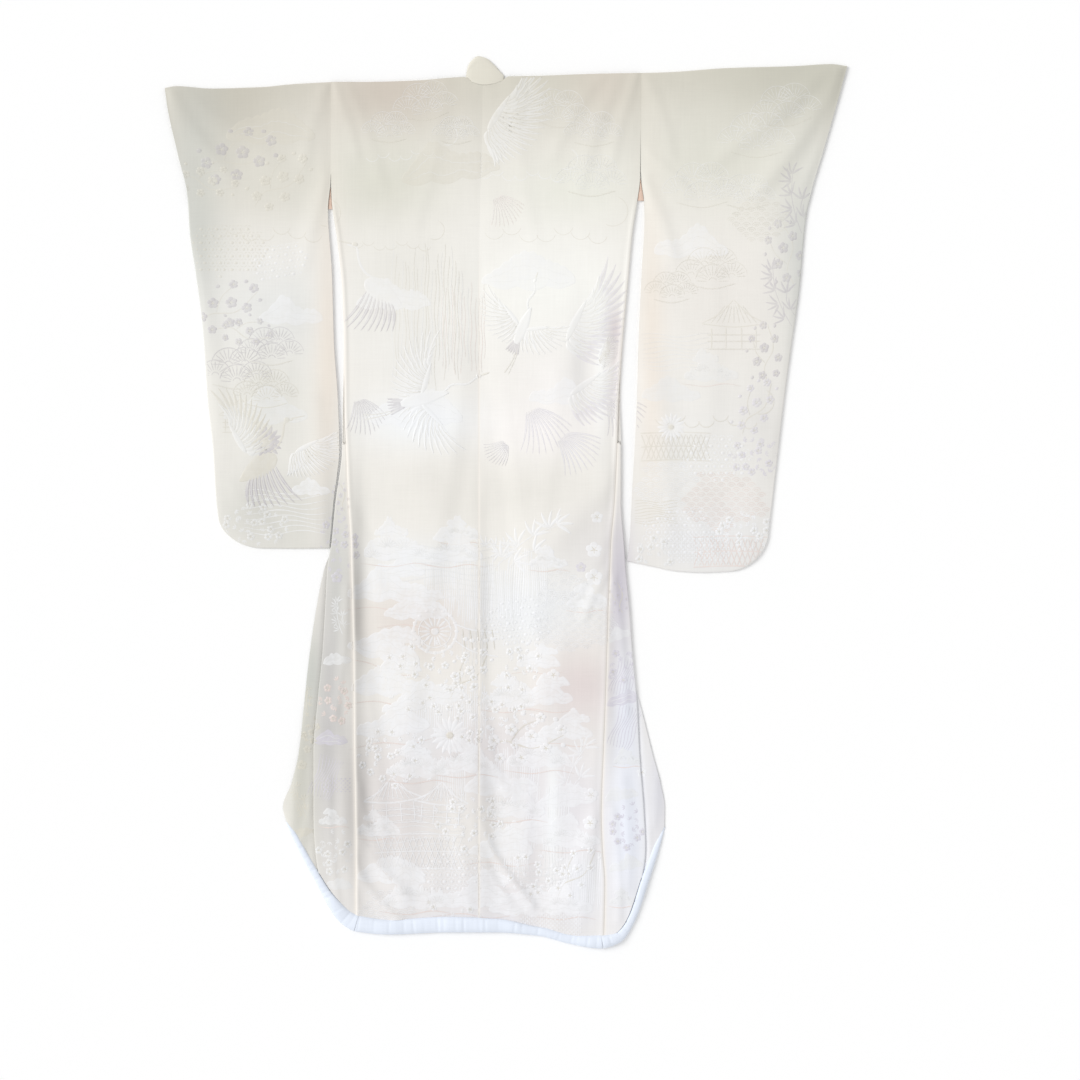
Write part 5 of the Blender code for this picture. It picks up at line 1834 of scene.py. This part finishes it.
FIGURES: Tuple[Tuple[Callable[..., None], Tuple[tuple, ...]], ...] = (
    # Each figure's places: x, y, size, turn, thread, mirror.  The first ones lie lowest.
    (draw_fall, ((-0.128, -0.17, 0.12), (-0.072, -0.18, 0.15), (-0.01, -0.18, 0.15), (0.048, -0.15, 0.12),
        (-0.078, -0.42, 0.13), (-0.15, -0.42, 0.11), (0.02, -0.56, 0.15), (0.08, -0.64, 0.15),
        (0.15, -0.76, 0.13), (0.01, -0.7, 0.12), (-0.11, -0.56, 0.1))),
    (draw_water, ((-0.155, 0.37, 0.16, 0, SAND), (-0.085, 0.35, 0.11, 0, ROSE),
        (-0.06, -0.3, 0.06, 0, PEARL), (0.105, -0.72, 0.06, 0, PEARL))),
    (draw_cloud, ((-0.235, -0.185, 0.165), (-0.18, -0.225, 0.13), (-0.245, -0.305, 0.15, -14),
        (-0.235, -0.375, 0.15), (0.065, -0.325, 0.09), (0.075, -0.395, 0.12), (-0.225, -0.455, 0.15, 6),
        (0.12, -0.465, 0.11), (-0.01, -0.7, 0.13), (-0.06, -0.8, 0.15))),
    (draw_bank, ((-0.11, 0.655, 0.2, 8, SAND), (-0.225, 0.395, 0.15), (-0.18, 0.165, 0.19),
        (0.045, 0.44, 0.19), (0.105, 0.205, 0.12), (-0.14, -0.395, 0.13, 4), (-0.01, -0.575, 0.15),
        (0.12, -0.6, 0.12, 6), (0.06, -0.67, 0.14, 4), (-0.23, -0.75, 0.14), (0.04, -0.815, 0.15),
        (-0.336, -0.32, 0.06, 6, PEARL), (-0.35, -0.48, 0.07, 0, LILAC), (-0.335, -0.77, 0.06, 0, PEARL),
        (-0.405, -0.665, 0.05, 20, SAND), (0.228, -0.27, 0.06, 20, PEARL), (0.234, -0.4, 0.07, 10, LILAC),
        (0.232, -0.59, 0.07, 10, PEARL), (0.24, -0.73, 0.07, 10, PEARL), (-0.47, 0.73, 0.18, 0, SAND),
        (-0.43, 0.365, 0.13), (-0.48, 0.17, 0.17, 0, PEARL), (-0.39, 0.02, 0.08), (0.37, 0.5, 0.15),
        (0.33, 0.21, 0.12, 0, PEARL))),
    (draw_pine, ((-0.215, -0.105, 0.14), (-0.09, -0.07, 0.085), (-0.105, -0.11, 0.12),
        (0.085, -0.125, 0.08), (0.165, -0.205, 0.09), (0.01, -0.4, 0.12), (-0.175, -0.54, 0.13),
        (-0.08, -0.53, 0.12), (0.065, -0.52, 0.13), (0.02, -0.62, 0.12), (-0.255, -0.66, 0.09),
        (0.13, -0.68, 0.12), (-0.18, -0.8, 0.14), (0.12, -0.815, 0.11), (-0.345, -0.64, 0.06, 0, PEARL),
        (0.244, -0.52, 0.06, 0, PEARL), (0.236, -0.8, 0.06, 0, PEARL), (0.41, 0.25, 0.11, 0, PEARL))),
    (draw_ripples, ((-0.13, -0.14, 0.22, 0, PEARL), (-0.18, -0.64, 0.2, 0, PEARL),
        (0.04, -0.775, 0.18, 0, PEARL), (0.238, -0.45, 0.09, 70, LILAC), (-0.44, -0.02, 0.17),
        (0.34, 0.3, 0.14, 0, PEARL), (0.3, -0.02, 0.09, 0, SAND), (-0.36, -0.55, 0.09, 70, LILAC),
        (0.236, -0.35, 0.08, 70, LILAC))),
    (draw_waves, ((0.11, -0.175, 0.1, 20), (0.135, -0.24, 0.17, -6), (-0.24, -0.815, 0.1),
        (0.33, 0.03, 0.14), (0.44, 0.0, 0.16, 0, ROSE), (0.51, 0.56, 0.12, 0, SAND))),
    (draw_kikko, ((0.02, -0.24, 0.15, 8), (-0.1, -0.745, 0.14), (-0.555, 0.505, 0.17, 0, SAND),
        (-0.445, 0.48, 0.12, 10), (0.425, 0.085, 0.14), (0.35, -0.06, 0.15))),
    (draw_fence, ((-0.185, -0.7, 0.15), (0.33, 0.11, 0.12, 0, SAND), (0.44, -0.1, 0.13, 0, ROSE))),
    (draw_roof, ((-0.225, -0.6, 0.12, 4), (-0.13, -0.605, 0.11, -4), (-0.53, 0.17, 0.09, 0, SAND),
        (0.455, 0.35, 0.13, 0, SAND))),
    (draw_net, ((-0.342, -0.565, 0.062, 0, LILAC), (0.09, -0.85, 0.12), (0.385, -0.09, 0.12))),
    (draw_cloud_line, ((0.08, 0.545, 0.23, 0, SAND), (-0.23, 0.52, 0.15, 0, SAND),
        (-0.48, 0.545, 0.21, 0, SAND), (0.4, 0.17, 0.19, 0, SAND), (0.03, 0.66, 0.16, 0, WHITE),
        (-0.2, 0.7, 0.15, 6, WHITE))),
    (draw_carpet, ((-0.15, -0.35, 0.2), (0.03, -0.33, 0.11, 60), (-0.02, -0.44, 0.16),
        (-0.21, -0.505, 0.18), (-0.07, -0.64, 0.15), (0.06, -0.74, 0.14), (-0.13, -0.85, 0.16, 0, PEARL),
        (-0.334, -0.08, 0.11, 90, LILAC), (-0.342, -0.4, 0.09, 90, ROSE), (-0.342, -0.7, 0.09, 90, PEARL),
        (-0.402, -0.46, 0.07, 90, SAND), (0.23, -0.33, 0.08, 80, LILAC), (0.244, -0.65, 0.09, 80, LILAC),
        (-0.5, -0.04, 0.13, 0, PEARL), (0.5, 0.09, 0.11, 0, LILAC), (0.48, -0.06, 0.11),
        (0.3, -0.1, 0.08, 0, PEARL))),
    (draw_tuft, ((-0.16, 0.79, 0.11, 8), (-0.235, 0.74, 0.09), (-0.1, 0.735, 0.08),
        (0.105, 0.775, 0.11, -6), (0.175, 0.735, 0.1), (0.17, 0.64, 0.12), (-0.47, 0.3, 0.11, 0, SMOKE),
        (-0.54, 0.255, 0.12, 0, SMOKE), (-0.48, 0.215, 0.11, 0, SAND), (0.5, 0.72, 0.13),
        (0.56, 0.78, 0.12, 8), (0.39, 0.62, 0.13), (0.48, 0.61, 0.1), (0.41, 0.455, 0.12, 0, SAND),
        (0.33, 0.42, 0.09, 0, SAND))),
    (draw_bamboo, ((0.04, -0.08, 0.14, 6), (-0.01, -0.09, 0.08, 20, WHITE, -1), (0.13, -0.545, 0.12, 40),
        (-0.335, -0.23, 0.06, 70, PEARL), (-0.398, -0.395, 0.04, 60, SAND), (-0.412, -0.6, 0.06, 80, SAND),
        (0.575, 0.6, 0.11, 70, SMOKE), (0.545, 0.41, 0.11, 80, SMOKE))),
    (draw_wheel, ((-0.142, -0.258, 0.098),)),
    (draw_rayed, ((-0.112, -0.466, 0.08), (-0.48, 0.12, 0.07, 0, SMOKE), (0.33, 0.15, 0.06))),
    (draw_spray, ((-0.075, -0.345, 0.11, 30), (0.04, -0.475, 0.15, -10), (0.14, -0.74, 0.11, 30),
        (-0.328, 0.01, 0.055, 80, LILAC), (0.226, -0.19, 0.06, 80, LILAC), (-0.535, 0.69, 0.15, 0, SMOKE),
        (-0.45, 0.64, 0.13, 20, SAND), (-0.595, 0.64, 0.11, -30, SAND), (-0.555, 0.39, 0.13, 10, SMOKE),
        (-0.52, 0.34, 0.1, -30, SMOKE), (0.56, 0.5, 0.12, 80, SMOKE), (0.52, 0.3, 0.11, 70, SMOKE),
        (0.5, 0.19, 0.11, 40, LILAC))),
    (draw_plum, ((0.176, -0.095, 0.034), (0.176, -0.15, 0.036), (0.15, -0.13, 0.022, 0, LILAC),
        (0.182, -0.03, 0.026), (0.095, -0.345, 0.026), (0.17, -0.585, 0.03), (0.168, -0.64, 0.03),
        (-0.338, -0.15, 0.024, 0, LILAC), (-0.408, -0.525, 0.022, 0, SAND), (0.272, -0.54, 0.022))),
    (draw_tail, ((-0.02, 0.61, 0.075, 25, ROSE), (-0.295, 0.205, 0.085, 12, SMOKE),
        (0.05, 0.185, 0.11, 20, LILAC), (0.0, 0.12, 0.06, -50, SMOKE), (0.208, 0.205, 0.095, 30, SMOKE),
        (0.11, 0.13, 0.1, 40, LILAC))),
    (draw_standing, ((-0.25, 0.42, 0.2), (-0.49, 0.07, 0.2, 0, SAND, -1))),
    (draw_crane, ((-0.165, 0.205, 0.25, 12), (0.035, 0.35, 0.2, 65))),
    (draw_dark_wing, ((0.122, 0.325, 0.18, 4, LILAC), (0.13, 0.215, 0.15, -24, LILAC),
        (-0.52, 0.1, 0.14, 60, SAND))),
    (draw_white_wing, ((-0.035, 0.745, 0.165), (-0.42, 0.1, 0.11, -30), (0.185, 0.29, 0.06, 10))),
)
# How much of a float's own colour shows over the ground's, from the hem to the shoulders:
# above the hip the figures are woven tone on tone.
CONTRAST = ((-0.90, 0.64), (-0.20, 0.66), (0.00, 0.58), (0.15, 0.46), (0.45, 0.40), (0.86, 0.36))


@dataclass
class Brocade:
    """The woven figures, laid on the panels and cut off where a panel ends.

    Attributes:
        panels: The open sheets that carry them.
        patch: Side of the squares in which crossing figures are counted.
        ply: How much higher a figure lies than one that it crosses.
        cross: How much higher each float lies than the one drawn before it.
    """

    panels: Dict[str, Piece]
    patch: float = 0.010
    ply: float = 0.00004
    cross: float = 0.00001

    def draw(self) -> List[Stroke]:
        """Draw every figure of the table, each clear of the ones that it crosses.

        Returns:
            The floats, lowest first.
        """
        strokes: List[Stroke] = []
        levels: Dict[Tuple[int, int], int] = {}
        for drawer, motif in ((drawer, Motif(*row)) for drawer, rows in FIGURES for row in rows):
            own: List[Stroke] = []
            drawer(Pen(motif.x, motif.y, motif.size, motif.turn, motif.flip, own), motif.thread)
            covered = set()
            for stroke in own:
                for spot in np.concatenate([stroke.low, stroke.high, (stroke.low + stroke.high) / 2]):
                    covered.add((int(spot[0] // self.patch), int(spot[1] // self.patch)))
            level = 1 + max((levels.get(cell, -1) for cell in covered), default=-1)
            levels.update({cell: level for cell in covered})
            for k, stroke in enumerate(own):
                extra = (level * self.ply + (k % 24) * self.cross) / FLOAT_HEIGHT
                strokes.append(stroke._replace(lift=stroke.lift + extra))
        return strokes

    def weave(self, strokes: Sequence[Stroke]) -> Tuple[Array, Array, Array, Array]:
        """Turn floats into points, heights over the cloth, quads and colours.

        Args:
            strokes: The floats.

        Returns:
            Points (x, y), heights, quads and each point's own colour.
        """
        own = {thread: np.array(linear(thread.value)) for thread in Thread}
        spots, heights, faces, colours = [], [], [], []
        start = 0
        for stroke in strokes:
            t = np.linspace(0, 1, stroke.across + 1)
            grid = (stroke.low[:, None, :] * (1 - t)[None, :, None]
                    + stroke.high[:, None, :] * t[None, :, None])
            top = FLOAT_HEIGHT * stroke.lift
            height = np.full(grid.shape[:2], top)
            wide = np.linalg.norm(stroke.high - stroke.low, axis=1)
            height[:, 0] = height[:, -1] = top - np.minimum(top + FLOAT_SINK, STEEPEST * wide)
            spine = (stroke.high + stroke.low) / 2
            for end, inner in ((0, 1), (-1, -2)):
                run = 2 * float(np.linalg.norm(spine[end] - spine[inner]))
                height[end, :] = top - min(top + FLOAT_SINK, STEEPEST * run)
            run, span = np.diff(spine, axis=0), (stroke.high - stroke.low)[:-1]
            upward = float(np.sum(run[:, 0] * span[:, 1] - run[:, 1] * span[:, 0])) > 0
            quads = grid_faces(grid.shape[0], grid.shape[1], start, upward)
            spots.append(grid.reshape(-1, 2))
            heights.append(height.ravel())
            faces.append(quads)
            colours.append(np.tile(own[stroke.thread], (height.size, 1)))
            start += height.size
        return tuple(np.concatenate(part) for part in (spots, heights, faces, colours))

    @staticmethod
    def wear(x: Array, y: Array) -> Array:
        """Share of a float's colour that is left where the weave is thinner, in cloudy patches.

        Args:
            x: Places across.
            y: Places along.

        Returns:
            The share at each place.
        """
        cloudy = (np.sin(310 * x + 2.2 * np.sin(170 * y)) * np.sin(420 * y + 1.8 * np.sin(240 * x + 1.0))
                  + 0.7 * np.sin(95 * x - 120 * y + 1.5 * np.sin(130 * x)) * np.sin(140 * x + 75 * y))
        return 0.86 - 0.24 * np.tanh(1.6 * cloudy)

    def lay(self, spots: Array) -> Tuple[Array, Array]:
        """Find the panel under each point and the height of its cloth.

        Args:
            spots: Places (x, y).

        Returns:
            The height at each point, and the number of the panel there or -1.
        """
        points, quads, owner = [], [], []
        start = 0
        for number, panel in enumerate(self.panels.values()):
            mesh = panel.data
            ids = np.zeros(len(mesh.loops), np.int32)
            mesh.loops.foreach_get("vertex_index", ids)
            points.append(points_of(mesh))
            faces = ids.reshape(-1, 4) + start
            quads.append(faces)
            owner.append(np.full(len(faces), number))
            start += len(mesh.vertices)
        owners = np.concatenate(owner)
        tree = BVHTree.FromPolygons(np.concatenate(points).tolist(), np.concatenate(quads).tolist())
        heights = np.zeros(len(spots))
        under = np.full(len(spots), -1)
        for k, (x, y) in enumerate(spots.tolist()):
            hit = tree.ray_cast((x, y, 0.1), (0.0, 0.0, -1.0), 0.2)
            if hit[0] is not None:
                heights[k] = hit[0].z
                under[k] = owners[hit[2]]
        return heights, under

    def build(self, silk: Material) -> Dict[str, Piece]:
        """Make one piece of figures for each panel.

        Args:
            silk: The floats' silk, which reads its colour from the points.

        Returns:
            The pieces, by the name of their panel.
        """
        spots, lifts, quads, threads = self.weave(self.draw())
        x, y = spots[:, 0], spots[:, 1]
        share = (np.interp(y, *zip(*CONTRAST)) * self.wear(x, y))[:, None]
        # The floats carry the ground's painted light and shade, the painted seam shade and the painted seam
        # highlight, mixed with their own colour.
        colours = paint_seam_highlight(paint_seam_shade(ground_colour_and_painted_light(x, y) * (1 - share) + threads * share, x, y), x, y)
        ground, under = self.lay(spots)
        points = np.column_stack([spots, ground + lifts])
        made = {}
        for number, name in enumerate(self.panels):
            own = (under[quads] == number).all(1)
            if not own.any():
                continue
            kept = quads[own]
            used = np.unique(kept)
            index = np.zeros(len(points), int)
            index[used] = np.arange(len(used))
            made[name] = make_piece("figures_" + name, points[used], index[kept], [silk])
            store_colours(made[name], colours[used])
        return made


# ------------------------------------------------------------------ studio
TABLE_DROP = 0.0004     # the table stands this far under the garment


@dataclass
class Studio:
    """White table, soft light and the camera over the garment.

    Attributes:
        eye: The camera's place, straight above.
        lens: Focal length in millimetres on a 36 mm sensor.
        floor: Half the side of the white table.
        room: Brightness of the white room.
        window: Strength of the wide soft light from the left.
    """

    eye: Tuple[float, float, float] = (0.068, -0.0755, 6.0)
    lens: float = 100.0
    floor: float = 6.0
    room: float = 0.72
    window: float = 1.45

    def camera(self) -> None:
        """Put up the camera, with the collar at the top of the view."""
        data = bpy.data.cameras.new("over_table")
        data.sensor_width = 36.0
        data.lens = self.lens
        data.clip_end = 50.0
        camera = bpy.data.objects.new("over_table", data)
        camera.location = self.eye
        bpy.context.scene.collection.objects.link(camera)
        bpy.context.scene.camera = camera

    def table(self) -> None:
        """Lay the pale surface that the garment lies on."""
        bpy.ops.mesh.primitive_plane_add(size=2 * self.floor, location=(0, 0, 0))
        table = bpy.context.active_object
        table.name = "table_top"
        for corner in table.data.vertices:
            corner.co.z = -TABLE_DROP
        # Matt white paper on the table: no gloss, almost all light comes back.
        paper = bpy.data.materials.new("matt_white_paper")
        paper.use_nodes = True
        shader = paper.node_tree.nodes["Principled BSDF"]
        shader.inputs["Base Color"].default_value = linear("FEFEFE")
        shader.inputs["Roughness"].default_value = 0.95
        shader.inputs["Specular IOR Level"].default_value = 0.1
        table.data.materials.append(paper)

    def light(self) -> None:
        """Light the table: a bright white room and one wide window on the left."""
        world = bpy.data.worlds.new("white_room")
        world.use_nodes = True
        world.node_tree.nodes["Background"].inputs["Color"].default_value = (1.0, 1.0, 1.0, 1.0)
        world.node_tree.nodes["Background"].inputs["Strength"].default_value = self.room
        bpy.context.scene.world = world
        lamp = bpy.data.lights.new("window", "SUN")
        lamp.energy = self.window
        lamp.angle = radians(34)
        holder = bpy.data.objects.new("window", lamp)
        holder.location = (-2.0, 0.8, 2.2)
        holder.rotation_euler = (radians(-14), radians(-50), 0.0)
        bpy.context.scene.collection.objects.link(holder)
        bpy.context.scene.view_settings.view_transform = "Standard"
        bpy.context.scene.view_settings.look = "None"


# ------------------------------------------------------------------ garment
@dataclass
class Uchikake:
    """The whole garment: its panels, figures, collar, padded hem and lining."""

    panels: Dict[str, Piece] = field(default_factory=dict)

    def build_panels(self, silk: Material) -> Dict[str, Tuple[float, float]]:
        """Make the eight panels of figured silk as open sheets.

        Args:
            silk: Their cloth.

        Returns:
            The cut of each panel, by its name.
        """
        parts = [BackPanel("back_left", -1), BackPanel("back_right", 1), FrontPanel("front_left", -1),
                 FrontPanel("front_right", 1), OkumiPanel("okumi_left", -1), OkumiPanel("okumi_right", 1),
                 SleevePanel("sleeve_left", -1), SleevePanel("sleeve_right", 1)]
        for part in parts:
            piece = part.build(silk)
            store_ground_and_painted_light(piece)
            self.panels[part.name] = piece
        return {part.name: part.cut for part in parts}

    def finish_panels(self,
                      figures: Dict[str, Piece]) -> None:
        """Args:
            figures: The pieces of figures, by panel.
        """
        for name, piece in self.panels.items():
            give_wall(piece)
            settle(piece, [name])
            carried = [figures[name]] if name in figures else []
            for figure in carried:
                settle(figure, [])

    def add_collar(self) -> None:
        """Make the collar's three stretches."""
        silk = COLLAR_SILK.make()
        collar = Collar()
        neck = collar.neck(silk)
        give_wall(neck, 0.0018)
        settle(neck, ["collar"])
        for name, edge, side in (("collar_left", FORM.open_left, 1), ("collar_right", FORM.open_right, -1)):
            band = collar.band(name + "_band", edge, side, silk)
            give_wall(band, 0.0014)
            settle(band, [name])

    def add_hem(self) -> None:
        """Make the padded hem's three stretches."""
        silk = HEM_SILK.make()
        hem = PaddedHem()
        cuts = [0.0, self.seam_share(-0.300), self.seam_share(0.200), 1.0]
        gap = GAP / 2 / FORM.hem_length
        for name, first, last in zip(("hem_left", "hem_back", "hem_right"), cuts, cuts[1:]):
            piece = hem.build(name + "_roll", first + gap, last - gap, silk)
            settle(piece, [name])

    def seam_share(self, x: float) -> float:
        """Share of the hem's length at which a side seam meets it."""
        share = np.linspace(0, 1, 45)
        outer = FORM.hem_frame(share)[0]
        return float(share[np.argmin(np.abs(outer[:, 0] - x))])

    def add_lining(self) -> None:
        """Make the two slivers of lining."""
        silk = LINING_SILK.make()
        lining = Lining()
        for name, side, top in (("lining_left", -1, 0.628), ("lining_right", 1, 0.645)):
            piece = lining.build(name + "_sliver", side, top, silk)
            give_wall(piece, 0.0008)
            settle(piece, [name])


def main() -> None:
    """Build the studio and the garment."""
    logging.basicConfig(level=logging.INFO, format="%(name)s: %(message)s")
    studio = Studio()
    studio.camera()
    studio.table()
    studio.light()
    garment = Uchikake()
    cuts = garment.build_panels(FIGURED.make())
    figures = Brocade(garment.panels).build(FLOATS.make())
    garment.finish_panels(figures)
    garment.add_collar()
    garment.add_hem()
    garment.add_lining()


if __name__ == "__main__":
    main()
